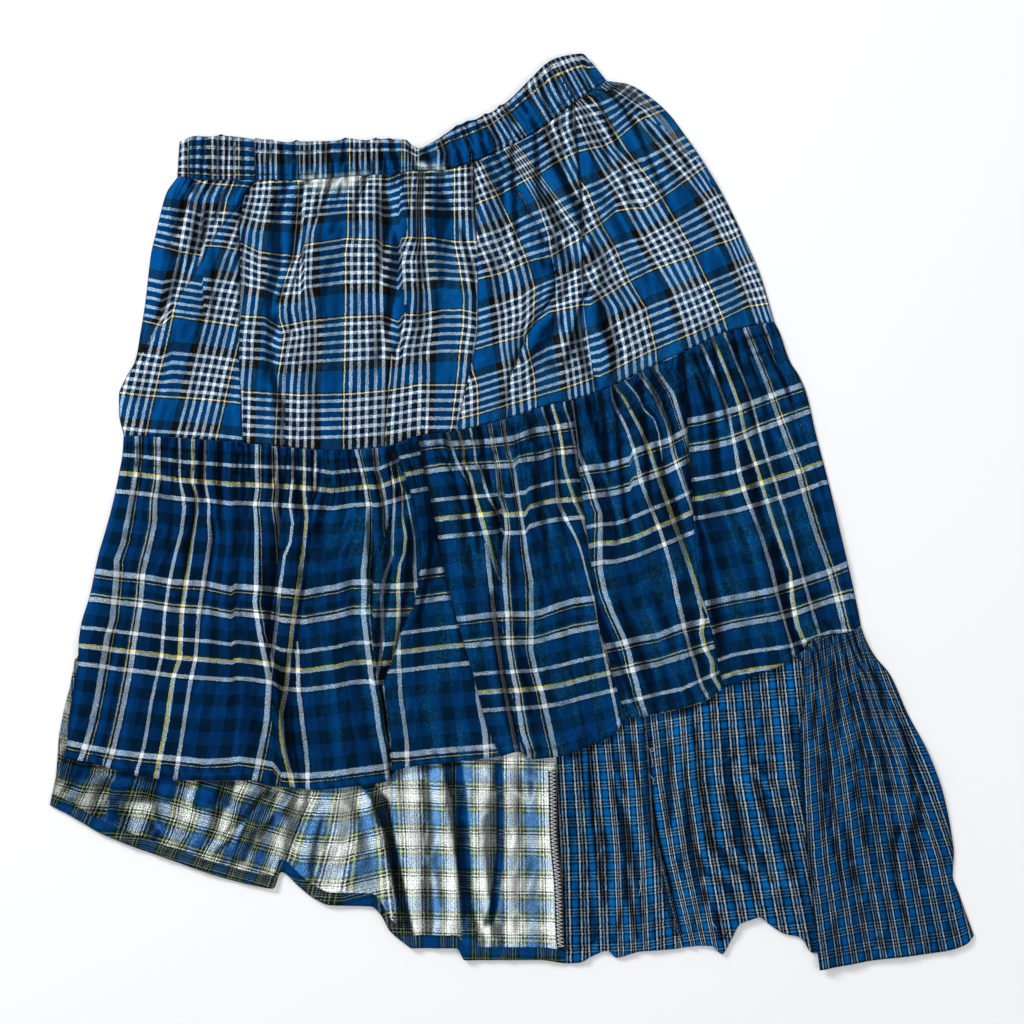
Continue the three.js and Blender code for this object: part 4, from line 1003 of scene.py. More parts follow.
def new_material(name: str) -> tuple[bpy.types.Material, bpy.types.NodeTree]:
    """A new material and its empty node tree."""
    material = bpy.data.materials.new(name)
    material.use_nodes = True
    material.node_tree.nodes.clear()
    return material, material.node_tree


def finish_material(tree: bpy.types.NodeTree, inputs: dict) -> None:
    """Gives a material its shader and its output."""
    shader = add_node(tree, "ShaderNodeBsdfPrincipled", inputs=inputs)
    add_node(tree, "ShaderNodeOutputMaterial", inputs={"Surface": shader.outputs["BSDF"]})


def calculate(tree: bpy.types.NodeTree, operation: str, *terms: Value, clamp: bool = False) -> bpy.types.NodeSocket:
    """Result of a sum on single numbers."""
    settings = {"operation": operation, "use_clamp": clamp}
    return add_node(tree, "ShaderNodeMath", settings, dict(enumerate(terms))).outputs[0]


def vector(tree: bpy.types.NodeTree, operation: str, *terms: Value) -> bpy.types.NodeSocket:
    """Result of a sum on vectors."""
    return add_node(tree, "ShaderNodeVectorMath", {"operation": operation}, dict(enumerate(terms))).outputs["Vector"]


def attribute(tree: bpy.types.NodeTree, name: str) -> bpy.types.NodeSocket:
    """The number that the mesh holds under a name."""
    return add_node(tree, "ShaderNodeAttribute", {"attribute_name": name}).outputs["Fac"]


def noise(
    tree: bpy.types.NodeTree, cloth: bpy.types.NodeSocket, cells: tuple[float, float], detail: float = 1.0,
    **inputs: float,
) -> bpy.types.NodeSocket:
    """Smooth random numbers over the cloth, with so many cells to the metre across and along it."""
    inputs = {"Vector": vector(tree, "MULTIPLY", cloth, (*cells, 1.0)), "Scale": 1.0, "Detail": detail, **inputs}
    return add_node(tree, "ShaderNodeTexNoise", {"noise_dimensions": "2D"}, inputs).outputs["Fac"]


def eased(
    tree: bpy.types.NodeTree, value: bpy.types.NodeSocket, low: float, high: float, least: float = 0.0,
    most: float = 1.0,
) -> bpy.types.NodeSocket:
    """Goes from least to most, with level ends, as a value goes from low to high."""
    inputs = {"Value": value, "From Min": low, "From Max": high, "To Min": least, "To Max": most}
    return add_node(tree, "ShaderNodeMapRange", {"interpolation_type": "SMOOTHSTEP"}, inputs).outputs["Result"]


def mix(tree: bpy.types.NodeTree, blend: str, factor: Value, first: Value, second: Value) -> bpy.types.NodeSocket:
    """Two colours mixed."""
    node = add_node(tree, "ShaderNodeMix", {"data_type": "RGBA", "blend_type": blend}, {
        Socket.FACTOR.value: factor, Socket.FIRST.value: first, Socket.SECOND.value: second,
    })
    return node.outputs[Socket.RESULT.value]


# Noise cells to the metre of cloth, across and along it.
WANDER_CELLS = 260.0
THREAD_CELLS = (1500.0, 1150.0)  # single threads, under a millimetre
SLUB_CELLS = ((1500.0, 260.0), (260.0, 1300.0))  # worn slubs of the warp and of the weft, 4 mm long
PATCH_CELLS = (42.0, 16.0)  # rubbed patches, 24 by 60 mm
WRINKLE_CELLS = (95.0, 38.0)  # 11 by 26 mm
PUCKER_CELLS = (210.0, 34.0)  # 5 by 29 mm
# Specks of the nap, pale and dark: cells, the range over which they come in, and colour.
NAP_SPECKS = (((1150.0, 820.0), 0.5, 0.66, "eef3f2"), ((830.0, 1240.0), 0.52, 0.68, "101c22"))
BARE_YARN = "e2e4dc"
WANDER = 0.0011  # metres; a thread strays by about a quarter of it
GRAIN_DEPTH = 0.00008  # metres
PUCKER_DEPTH = 0.0042  # metres


@dataclass(frozen=True)
class WovenFinish:
    """Yarn-dyed cotton shirting: stripes of the warp and the weft, mixed thread by thread."""

    name: str
    warp: Sett
    weft: Sett
    warp_share: float = 0.5
    heather: float = 1.0  # contrast of the salt-and-pepper mixing of the threads
    lighter_wins: float = 0.12  # how far a light thread covers a dark one
    worn_colour: str = "4f7f98"
    worn: float = 0.5
    wrinkle: float = 2.1  # mm
    napped: float = 0.0  # share of pale and dark specks
    reverse: Optional[Sett] = None  # the cloth's other face, which shows where the attribute "reverse" says

    def material(self) -> bpy.types.Material:
        """Builds the material.

        Returns:
            The material, which reads its pattern from the cloth's own UV map, in metres of cloth.
        """
        material, tree = new_material(self.name)
        cloth = add_node(tree, "ShaderNodeUVMap", {"uv_map": "cloth"}).outputs["UV"]
        astray = add_node(tree, "ShaderNodeTexNoise", {"noise_dimensions": "2D"},
                          {"Vector": cloth, "Scale": WANDER_CELLS, "Detail": 2.0}).outputs["Color"]
        centred = vector(tree, "SUBTRACT", astray, (0.5, 0.5, 0.5))
        moved = vector(tree, "MULTIPLY_ADD", centred, (WANDER, WANDER, 0.0), cloth)
        parts = add_node(tree, "ShaderNodeSeparateXYZ", inputs={"Vector": moved}).outputs
        # Heathered mixing: single threads, some of the warp and some of the weft, lie uppermost.
        threads = noise(tree, cloth, THREAD_CELLS)
        share = add_node(tree, "ShaderNodeMapRange", {"clamp": True}, {
            "Value": threads, "From Min": 0.25, "From Max": 0.75,
            "To Min": 1 - self.warp_share - 0.5 * self.heather, "To Max": 1 - self.warp_share + 0.5 * self.heather,
        })
        weft_up = add_node(tree, "ShaderNodeClamp", inputs={"Value": share.outputs["Result"]}).outputs["Result"]
        warp, weft = self._stripes(tree, parts["X"], self.warp), self._stripes(tree, parts["Y"], self.weft)
        lighter = mix(tree, "LIGHTEN", 1.0, warp, weft)
        colour = mix(tree, "MIX", self.lighter_wins, mix(tree, "MIX", weft_up, warp, weft), lighter)
        if self.napped:
            for cells, low, high, code in NAP_SPECKS:
                specks = eased(tree, noise(tree, cloth, cells), low, high, most=self.napped)
                colour = mix(tree, "MIX", specks, colour, opaque(code))
        colour = mix(tree, "MIX", self._wear(tree, cloth), colour, opaque(self.worn_colour))
        if self.reverse:
            # Painted shade: where the attribute says, the colour is multiplied by itself, which darkens it and leaves
            # white nearly as light.
            colour = mix(tree, "MULTIPLY", attribute(tree, "deep"), colour, colour)
            other = [self._stripes(tree, parts[axis], self.reverse) for axis in ("X", "Y")]
            colour = mix(tree, "MIX", attribute(tree, "reverse"), colour, mix(tree, "MIX", weft_up, *other))
        bared = calculate(tree, "MULTIPLY_ADD", attribute(tree, "rubbed"), threads, 0.0, clamp=True)
        colour = mix(tree, "MIX", bared, colour, opaque(BARE_YARN))
        light = add_node(tree, "ShaderNodeGamma", inputs={"Color": colour, "Gamma": 2.2}).outputs["Color"]
        # Painted shade and light: the mesh's "shade" numbers scale the colour.
        shaded = add_node(tree, "ShaderNodeVectorMath", {"operation": "SCALE"},
                          {0: light, "Scale": attribute(tree, "shade")})
        # Brushed cotton: hardly any gloss, and a faint pale fuzz.
        finish_material(tree, {
            "Base Color": shaded.outputs["Vector"], "Roughness": 0.9, "Specular IOR Level": 0.02,
            "Sheen Weight": 0.01, "Sheen Roughness": 0.6, "Normal": self._relief(tree, cloth, threads),
        })
        return material

    def _stripes(self, tree: bpy.types.NodeTree, place: bpy.types.NodeSocket, sett: Sett) -> bpy.types.NodeSocket:
        """Colour of one direction's stripes at a place along it."""
        turns = calculate(tree, "MULTIPLY_ADD", place, 1 / MM / sett.period, -sett.start / sett.period + 40.0)
        ramp = add_node(tree, "ShaderNodeValToRGB", inputs={"Fac": calculate(tree, "FRACT", turns)})
        ramp.color_ramp.interpolation = "CONSTANT"
        elements = ramp.color_ramp.elements
        while len(elements) > 1:
            elements.remove(elements[-1])
        edge = 0.0
        for number, (width, code) in enumerate(sett.stripes):
            position = min(edge / sett.period, 1.0)
            element = elements[0] if number == 0 else elements.new(position)
            element.position = position
            element.color = opaque(code)
            edge += width
        return ramp.outputs["Color"]

    def _wear(self, tree: bpy.types.NodeTree, cloth: bpy.types.NodeSocket) -> bpy.types.NodeSocket:
        """Share of pale, worn slubs: fine specks, gathered in soft patches where the cloth has been rubbed."""
        slubs = [eased(tree, noise(tree, cloth, cells, 2.0, Roughness=0.7), 0.46, 0.7) for cells in SLUB_CELLS]
        patches = eased(tree, noise(tree, cloth, PATCH_CELLS, 4.0, Roughness=0.6), 0.4, 0.7, least=0.1)
        both = calculate(tree, "MULTIPLY", calculate(tree, "MAXIMUM", *slubs), patches)
        local = calculate(tree, "MULTIPLY", both, attribute(tree, "worn"))
        return calculate(tree, "MULTIPLY", local, self.worn, clamp=True)

    def _relief(
        self, tree: bpy.types.NodeTree, cloth: bpy.types.NodeSocket, threads: bpy.types.NodeSocket
    ) -> bpy.types.NodeSocket:
        """Bump in metres: thread grain, soft wrinkles that run down the cloth, and fine puckers at gathered edges."""
        soft = noise(tree, cloth, WRINKLE_CELLS, 3.0, Distortion=0.4)
        puckers = calculate(tree, "MULTIPLY", noise(tree, cloth, PUCKER_CELLS), attribute(tree, "pucker"))
        grain = calculate(tree, "MULTIPLY", threads, GRAIN_DEPTH)
        wrinkled = calculate(tree, "MULTIPLY_ADD", soft, self.wrinkle * MM, grain)
        height = calculate(tree, "MULTIPLY_ADD", puckers, PUCKER_DEPTH, wrinkled)
        inputs = {"Height": height, "Distance": 1.0, "Strength": 1.0}
        return add_node(tree, "ShaderNodeBump", inputs=inputs).outputs["Normal"]


@dataclass(frozen=True)
class ThreadFinish:
    """Spun sewing thread, slightly glossy, with a twist along it."""

    name: str
    colour: str

    def material(self) -> bpy.types.Material:
        """Builds the thread's material."""
        material, tree = new_material(self.name)
        place = add_node(tree, "ShaderNodeTexCoord").outputs["Object"]
        fuzz = add_node(tree, "ShaderNodeTexNoise", inputs={"Vector": place, "Scale": 2400.0, "Detail": 2.0})
        base = linear(self.colour)
        dark = (*(c * 0.6 for c in base[:3]), 1.0)
        bump = add_node(tree, "ShaderNodeBump", inputs={"Height": fuzz.outputs["Fac"], "Distance": 0.00012})
        finish_material(tree, {
            "Base Color": mix(tree, "MIX", fuzz.outputs["Fac"], dark, base), "Roughness": 0.6,
            "Specular IOR Level": 0.15, "Normal": bump.outputs["Normal"],
        })
        return material


YOKE_CLOTH = WovenFinish("blue, white and black yarn-dyed shirting", SHIRTING_WARP, SHIRTING_WEFT, worn=0.45)
MIDDLE_CLOTH = WovenFinish("navy windowpane shirting", WINDOWPANE, WINDOWPANE, worn=0.62, worn_colour="2f6a8c")
TARTAN_CLOTH = WovenFinish(
    "dress tartan shirting, inner face", DRESS_TARTAN, DRESS_TARTAN, heather=1.5, lighter_wins=0.24, napped=0.34,
    worn=0.5, worn_colour="eef2ee", reverse=TARTAN_FACE,
)
TURNED_CLOTH = WovenFinish(
    "dress tartan shirting, right side", TARTAN_FACE, TARTAN_FACE, lighter_wins=0.2, worn=0.3, worn_colour="9fb0b0",
)
CHECK_CLOTH = WovenFinish(
    "small teal check shirting", SMALL_CHECK, SMALL_CHECK_WEFT, warp_share=0.63, lighter_wins=0.05, worn=0.2,
    worn_colour="a8c8d8",
)
RUFFLE_CLOTH = WovenFinish(
    "small teal check shirting, right side", RUFFLE_CHECK, RUFFLE_CHECK_WEFT, warp_share=0.64, lighter_wins=0.05,
    worn=0.15, worn_colour="8fb4c8",
)
WHITE_THREAD = ThreadFinish("white overlock thread", "f6f8fa")
BLACK_THREAD = ThreadFinish("black overlock thread", "14161a")
NAVY_THREAD = ThreadFinish("navy sewing thread", "03203f")
RED_THREAD = ThreadFinish("red thread end", "8a2630")


# ---- Cloth panels ----
LAP_EDGE = 1.2  # mm over which the upper cloth of a lap climbs
LAP_SETTLES = 13  # mm over which it comes down again
LAP_ENDS = 30  # share of the panel's width, one in so many, over which laps end at its sides
SHADOW_START, SHADOW_REACH = 0.6, 3.4  # mm from a lap, on its low side
SHADE_RANGE = (0.22, 1.28)
NEAR, WIDE = (3, 2), (8, 6)  # columns and rows over which hollows are compared with their surroundings
FOLD_ENDS = 6  # mm over which folds end at a panel's sides
KNOTS = 256  # random numbers each way before they repeat


def value_noise(x: Array, y: Array, seed: int) -> Array:
    """Smooth random numbers from 0 to 1, one knot for each whole step of x and y."""
    table = np.random.default_rng(seed).random((KNOTS, KNOTS))
    i, j = np.floor(x).astype(int), np.floor(y).astype(int)
    fx, fy = smooth(x - i), smooth(y - j)
    this, after = ([table[(i + k) % KNOTS, row % KNOTS] for k in (0, 1)] for row in (j, j + 1))
    return (this[0] * (1 - fx) + this[1] * fx) * (1 - fy) + (after[0] * (1 - fx) + after[1] * fx) * fy


def ridges(x: Array, y: Array, seed: int) -> Array:
    """Branching crests of height 1 on a level ground."""
    return (1 - np.abs(2 * value_noise(x, y, seed) - 1)) ** 2.2


def blurred(grid: Array, columns: int, rows: int) -> Array:
    """A grid averaged over its neighbours, with its edges held."""
    for axis, reach in ((1, columns), (0, rows)):
        padded = np.pad(grid, [(reach, reach) if k == axis else (0, 0) for k in (0, 1)], mode="edge")
        total = np.cumsum(padded, axis=axis)
        total = np.concatenate([np.zeros_like(np.take(total, [0], axis=axis)), total], axis=axis)
        size = 2 * reach + 1
        count = grid.shape[axis]
        grid = (np.take(total, range(size, size + count), axis=axis) - np.take(total, range(count), axis=axis)) / size
    return grid


@dataclass(frozen=True)
class Drape:
    """The small folds of a panel, which follow its grain: tight ones at its gathered edge and long ones below."""

    tight: float = 1.1  # mm high
    tight_length: float = 6.5  # mm of cloth from one to the next
    tight_depth: float = 0.12  # fraction of the panel's length
    long: float = 1.3
    long_length: float = 15.0
    long_fade: float = 0.45
    seed: int = 1

    def relief(self, u: Array, v: Array, t: Array) -> Array:
        """Height that the folds add at places in the cloth, in millimetres."""
        gathered = ridges(u / self.tight_length, v / (self.tight_length * 4), self.seed) * self.tight
        gathered *= 1 - smooth((t - self.tight_depth) / 0.08)
        hanging = ridges(u / self.long_length, v / (self.long_length * 5.5), self.seed + 7) * self.long
        crumple = ridges(u / 9 + v / 31, v / 17 - u / 40, self.seed + 13) * self.long * 0.35
        return gathered + (hanging + crumple) * (1 - self.long_fade * smooth(t)) * (0.5 + 0.5 * smooth(t * 6))


# Where folds of the tartan turn its darker face up: the left and the right side of each, as chart squares.
REVERSED = (
    ((62, 752, 60, 780), (96, 758, 90, 782)),
    ((118, 772, 114, 802), (178, 778, 172, 804)),
    ((198, 780, 194, 808), (236, 786, 230, 810)),
    ((112, 782, 108, 822), (122, 784, 118, 820)),
    ((262, 790, 240, 835, 232, 862), (281, 790, 258, 835, 246, 862)),
    ((358, 783, 372, 800, 384, 834), (374, 783, 389, 800, 395, 834)),
    ((385, 830, 390, 860, 396, 900, 399, 945), (394, 830, 400, 860, 408, 900, 416, 940)),
    ((440, 760, 452, 800, 456, 850, 462, 900, 462, 955), (462, 760, 468, 800, 471, 850, 474, 900, 480, 950)),
    ((494, 762, 497, 800, 497, 850, 490, 905, 484, 925), (502, 762, 505, 800, 505, 850, 499, 905, 492, 930)),
)
# Where the yarn is rubbed bare: chart column and row, half width and height in mm, and share.
RUBBED = (
    (312, 180, 10, 5, 1.35), (331, 186, 13, 6, 1.45), (347, 182, 10, 5.5, 1.35), (363, 177, 11, 4, 1.1),
    (421, 166, 6, 2.5, 1.2), (432, 168, 9, 3, 1.6), (442, 174, 4, 4, 0.8),
)


@dataclass
class Panel:
    """A panel of cloth between four plan lines, as a thin shell."""

    name: str
    slot: str
    top: tuple[Path, float, float]  # a plan line and where on it the panel starts and ends
    foot: tuple[Path, float, float]
    left: Optional[Path]
    right: Optional[Path]
    layout: Layout
    replaces: tuple[str, ...]
    under: Underside
    cut: tuple[float, float]  # mm, width and length before gathering
    step: tuple[float, float] = (1.7, 2.4)  # mm between columns and between rows
    thickness: float = CLOTH_THICKNESS
    above: float = 0.4  # mm between the solid's underside and the cloth's own
    length: float = 230.0
    rests_on: tuple[str, ...] = ()
    worn: Optional[OverPlan] = None
    pucker: Optional[Callable[[Array], Array]] = None
    gap: float = 0.15  # mm left clear at seams
    left_seam: bool = True
    right_seam: bool = True
    drape: Optional[Drape] = None
    exposed: Optional[OverPlan] = None  # 1 where the folds are full, 0 where something lies on them
    reverses: bool = False
    pinches: tuple[Crease, ...] = ()  # narrow folds
    painted_shading: Optional[OverPlan] = None  # painted shade and light: brightness over the plan, where folds lie too fine to model
    relief_shading: float = 1.1  # painted shade and light, for each mm that a trough or crest lies off its surroundings
    x: Array = field(default=None, init=False)
    y: Array = field(default=None, init=False)
    z: Array = field(default=None, init=False)
    s: Array = field(default=None, init=False)
    t: Array = field(default=None, init=False)
    piece: Optional[bpy.types.Object] = field(default=None, init=False)

    def width_at(self, t: Array) -> Array:
        """Plan width of the panel at a fraction of its length, in millimetres."""
        return (self.top[2] - self.top[1]) * (1 - t) + (self.foot[2] - self.foot[1]) * t

    def lay_out(self) -> None:
        """Works out where every point of the panel lies."""
        widest = max(abs(self.top[2] - self.top[1]), abs(self.foot[2] - self.foot[1]))
        columns = max(4, int(round(widest / self.step[0])))
        rows = max(3, int(round(self.length / self.step[1])))
        edge_s = self.gap / widest
        edge_t = self.gap / self.length
        s = np.linspace(edge_s if self.left_seam else 0.0, 1 - edge_s if self.right_seam else 1.0, columns + 1)
        t = np.linspace(edge_t, 1 - edge_t, rows + 1)
        self.s, self.t = np.meshgrid(s, t)
        self.x, self.y = coons(self.top, self.foot, self.left, self.right, s, t)
        base = self.under(self, self.x, self.y, self.s, self.t)
        self.z = base + self.above + self._laps() + self._folds() + self.thickness
        self.z = np.maximum(self.z, self.thickness)

    def _folds(self) -> Array:
        """Height of the small folds, which end at the seams and at a side fold."""
        if self.drape is None:
            return np.zeros(self.x.shape)
        u, v = self.layout.place(self.x, self.y, self.layout.breadth_at(self.x, self.y))
        width = abs(self.foot[2] - self.foot[1])
        ends = smooth(self.s * width / FOLD_ENDS) * smooth((1 - self.s) * width / FOLD_ENDS)
        shown = self.exposed(self.x, self.y) if self.exposed else 1.0
        pinches = sum((crease.rise(self.x, self.y) for crease in self.pinches), np.zeros(self.x.shape))
        return (self.drape.relief(u, v, self.t) + pinches) * ends * shown

    def _laps(self) -> Array:
        """Height that the laps add: the upper cloth stands up at its fold and settles behind it."""
        total = np.zeros(self.x.shape)
        for number, breadth in enumerate(self.layout.breadths[:-1]):
            off = self.layout.lap_distance(number, self.x, self.y)
            if breadth.rise > 0:
                total += breadth.rise * smooth(off / LAP_EDGE) * np.exp(-np.maximum(off, 0) / LAP_SETTLES)
            elif breadth.rise < 0:
                total += -breadth.rise * smooth(-off / LAP_EDGE) * np.exp(-np.maximum(-off, 0) / LAP_SETTLES)
        return total * smooth(self.s * LAP_ENDS) * smooth((1 - self.s) * LAP_ENDS)

    def _shade(self) -> Array:
        """Painted shade and light: darkening along the low side of each lap, shade in hollows and light on crests,
        times the painted shading over the plan.
        """
        total = np.ones(self.x.shape)
        for number, breadth in enumerate(self.layout.breadths[:-1]):
            off = self.layout.lap_distance(number, self.x, self.y) * (1 if breadth.rise > 0 else -1)
            off = off - SHADOW_START
            low = np.where(off < 0, np.exp(-(np.abs(off) / SHADOW_REACH) ** 1.2), np.exp(-off / SHADOW_START))
            total -= min(0.7, abs(breadth.rise) * 0.55) * low
        near, wide = self.z - blurred(self.z, *NEAR), self.z - blurred(self.z, *WIDE)
        if self.painted_shading:
            total *= self.painted_shading(self.x, self.y)
        return total * np.clip(1 + self.relief_shading * near + 0.4 * self.relief_shading * wide, *SHADE_RANGE)

    def _rubbed(self) -> Array:
        """Share of bared, whitened yarn: worn through at a few places just below the waistband."""
        total = np.zeros(self.x.shape)
        for cx, cy, wide, tall, share in RUBBED:
            px, py = to_plan(cx, cy)
            total += share * np.exp(-(((self.x - px) / wide) ** 2) - ((self.y - py) / tall) ** 2)
        return total

    def _reverse(self) -> Array:
        """Share of the cloth's other face at each point."""
        total = np.zeros(self.x.shape)
        cx, cy = to_chart(self.x, self.y)
        for sides in REVERSED:
            left, right = (np.array(squares(side)) for side in sides)
            inside = smooth((cx - np.interp(cy, left[:, 1], left[:, 0])) / 3 + 0.5)
            inside *= smooth((np.interp(cy, right[:, 1], right[:, 0]) - cx) / 3 + 0.5)
            inside *= smooth((cy - left[0, 1]) / 6 + 0.5) * smooth((left[-1, 1] - cy) / 8 + 0.5)
            total = np.maximum(total, inside)
        return total

    def build(self, material: bpy.types.Material) -> bpy.types.Object:
        """Makes the panel's mesh and dresses it.

        Args:
            material: Its cloth.

        Returns:
            The panel.
        """
        if self.x is None:
            self.lay_out()
        piece = grid_object(self.name, self.x, self.y, self.z)
        mesh = piece.data
        give_attributes(
            mesh, self.x.shape, shade=self._shade(), rubbed=self._rubbed(),
            worn=self.worn(self.x, self.y) if self.worn else 0.6, pucker=self.pucker(self.t) if self.pucker else 0.0,
        )
        if self.reverses:
            # Painted shade, deepest at the tartan's far left.
            deep = 0.05 + 0.75 * smooth((-130 - self.x) / 120)
            give_attributes(mesh, self.x.shape, reverse=self._reverse(), deep=deep)
        give_pattern_places(mesh, self.layout)
        mesh.materials.append(material)
        thicken(piece, self.thickness * MM)
        self.piece = piece
        declare(piece, self.slot, *self.replaces)
        shows = sum(face.area for face in mesh.polygons) / 2 / (self.cut[0] * self.cut[1] * MM * MM)
        log.info("%s: it shows %.2f of its %.0f x %.0f mm cut", self.name, shows, *self.cut)
        return piece

    def declare_cut(self, *sewn_on: bpy.types.Object) -> None:
        """Does nothing; the size that the panel was cut to is not recorded.

        Args:
            sewn_on: Narrow pieces that are folded or bound edges of the same cloth; not used.
        """

    def row_path(self, t: float, last: float) -> Array:
        """Points along the panel's upper face at a fraction of its length, as far as another of its width."""
        position = np.interp(t, self.t[:, 0], np.arange(len(self.t)))
        k = int(min(math.floor(position), len(self.t) - 2))
        f = position - k
        rows = [(1 - f) * grid[k] + f * grid[k + 1] for grid in (self.x, self.y, self.z)]
        return np.stack([row[self.s[0] <= last] for row in rows], axis=1) * MM

    def column_path(self, s: float) -> Array:
        """Points down the panel's upper face at a fraction of its width, in metres."""
        position = np.interp(s, self.s[0], np.arange(self.s.shape[1]))
        k = int(min(math.floor(position), self.s.shape[1] - 2))
        f = position - k
        columns = [(1 - f) * grid[:, k] + f * grid[:, k + 1] for grid in (self.x, self.y, self.z)]
        return np.stack(columns, axis=1) * MM


def coons(
    top: tuple[Path, float, float],
    foot: tuple[Path, float, float],
    left: Optional[Path],
    right: Optional[Path],
    s: Array,
    t: Array,
) -> tuple[Array, Array]:
    """Plan points between four lines, blended so that every line is met.

    Args:
        top: A plan line and its x range for the panel's top.
        foot: The same for its foot.
        left: The left side line, or None for a straight side.
        right: The right side line, or None.
        s: Fractions across.
        t: Fractions down.

    Returns:
        The x and the y of the points, one row for each t.
    """

    def edge(line: Path, start: float, end: float, f: Array) -> Array:
        """Points across, on the top or the foot line."""
        x = start + (end - start) * f
        return np.stack([x, read_line(line, x, 0)])

    (a, b), (c, d) = (edge(*line, np.array([0.0, 1.0])).T for line in (top, foot))

    def side(line: Optional[Path], start: Array, end: Array) -> Array:
        """Points down one side."""
        y = start[1] + (end[1] - start[1]) * t
        if line is None:
            return np.stack([start[0] + (end[0] - start[0]) * t, y])
        ends = read_line(line, np.array([start[1], end[1]]), 1)
        return np.stack([read_line(line, y, 1) + (start[0] - ends[0]) * (1 - t) + (end[0] - ends[1]) * t, y])

    upper, lower = edge(*top, s), edge(*foot, s)
    near, far = side(left, a, c), side(right, b, d)
    down = t[:, None]
    out = []
    for k in (0, 1):
        rows = upper[k][None, :] * (1 - down) + lower[k][None, :] * down
        columns = near[k][:, None] * (1 - s[None, :]) + far[k][:, None] * s[None, :]
        high, low = a[k] * (1 - s) + b[k] * s, c[k] * (1 - s) + d[k] * s
        out.append(rows + columns - (high[None, :] * (1 - down) + low[None, :] * down))
    return out[0], out[1]


def grid_object(name: str, x: Array, y: Array, z: Array) -> bpy.types.Object:
    """A grid primitive laid over given points.

    Args:
        name: The object's name.
        x: Plan x in millimetres, one row for each row of points from the top down.
        y: Plan y.
        z: Height.

    Returns:
        The new object, at the origin and without a transform.
    """
    rows, columns = x.shape
    bpy.ops.object.select_all(action="DESELECT")
    bpy.ops.mesh.primitive_grid_add(
        x_subdivisions=columns - 1, y_subdivisions=rows - 1, size=2, calc_uvs=False, location=(0, 0, 0)
    )
    piece = bpy.context.active_object
    piece.name = name
    mesh = piece.data
    mesh.name = name
    co = np.zeros(len(mesh.vertices) * 3)
    mesh.vertices.foreach_get("co", co)
    co = co.reshape(-1, 3)
    i = np.rint((co[:, 0] + 1) / 2 * (columns - 1)).astype(int)
    j = np.rint((1 - co[:, 1]) / 2 * (rows - 1)).astype(int)
    co[:, 0], co[:, 1], co[:, 2] = x[j, i] * MM, y[j, i] * MM, z[j, i] * MM
    mesh.vertices.foreach_set("co", co.ravel())
    index = mesh.attributes.new("grid_index", "INT", "POINT")
    index.data.foreach_set("value", (j * columns + i).astype(np.int32))
    mesh.polygons.foreach_set("use_smooth", np.ones(len(mesh.polygons), bool))
    mesh.update()
    return piece


def give_attributes(mesh: bpy.types.Mesh, shape: tuple[int, int], **attributes: Union[float, Array]) -> None:
    """Stores numbers for each grid point on the mesh, under their names."""
    index = np.zeros(len(mesh.vertices), np.int32)
    mesh.attributes["grid_index"].data.foreach_get("value", index)
    for name, values in attributes.items():
        grid = np.broadcast_to(values, shape).ravel()
        mesh.attributes.new(name, "FLOAT", "POINT").data.foreach_set("value", grid[index].astype(np.float32))


def give_pattern_places(mesh: bpy.types.Mesh, layout: Layout) -> None:
    """Writes each face corner's place in the pattern, in metres of cloth, as the UV map "cloth".

    Args:
        mesh: The panel's mesh, before it is thickened.
        layout: How its cloth lies.
    """
    co = np.zeros(len(mesh.vertices) * 3)
    mesh.vertices.foreach_get("co", co)
    co = co.reshape(-1, 3) / MM
    corners = np.zeros(len(mesh.loops), int)
    mesh.loops.foreach_get("vertex_index", corners)
    centre = co[corners].reshape(-1, 4, 3).mean(axis=1)
    breadth = np.repeat(layout.breadth_at(centre[:, 0], centre[:, 1]), 4)
    u, v = layout.place(co[corners, 0], co[corners, 1], breadth)
    uv = mesh.uv_layers.new(name="cloth")
    uv.data.foreach_set("uv", np.stack([u, v], axis=1).ravel() * MM)


def thicken(piece: bpy.types.Object, thickness: float) -> None:
    """Gives a sheet its thickness, downwards from its upper face."""
    piece.data.attributes.remove(piece.data.attributes["grid_index"])
    modifier = piece.modifiers.new("cloth thickness", "SOLIDIFY")
    modifier.thickness = thickness
    modifier.offset = -1.0
    bpy.context.view_layer.objects.active = piece
    bpy.ops.object.modifier_apply(modifier=modifier.name)


def declare(piece: bpy.types.Object, slot: str, *nodes: str) -> None:
    """Parents a piece to the root body, hides the parts of the frame that it stands for and logs its face count."""
    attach(piece, "root")
    if nodes:
        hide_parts(*nodes)
    log.info("%s: %d faces", piece.name, len(piece.data.polygons))


# ---- Sub-assemblies ----
def band_shading(x: Array, _: Array) -> Array:
    """Painted shade: the waistband is darker at its left."""
    return 0.84 + 0.12 * smooth((x + 20) / 40)


def tartan_shading(x: Array, _: Array) -> Array:
    """Painted shade and light: the tartan is darkened at its far left and brightened towards its right."""
    return 0.56 + 0.52 * smooth((x + 350) / 60) + 0.1 * smooth((x + 100) / 80)


def check_shading(x: Array, _: Array) -> Array:
    """Painted shade: the check is darker beside its seam than under the ruffle."""
    return 0.72 + 0.18 * smooth((x - 60) / 40)


def gathered_top(depth: float) -> Callable[[Array], Array]:
    """Pucker that is full at a panel's top edge and gone at a fraction of its length."""
    return lambda t: 1 - smooth((t - depth * 0.55) / (depth * 0.9))


def lying_flat(panel: Panel, x: Array, y: Array, s: Array, t: Array) -> Array:
    """Underside of a panel that lies on the floor."""
    return np.zeros(x.shape)


BAND_FOLDS = Drape(tight=1.5, tight_length=7.0, tight_depth=1.2, long=0.3, long_length=12, seed=3)


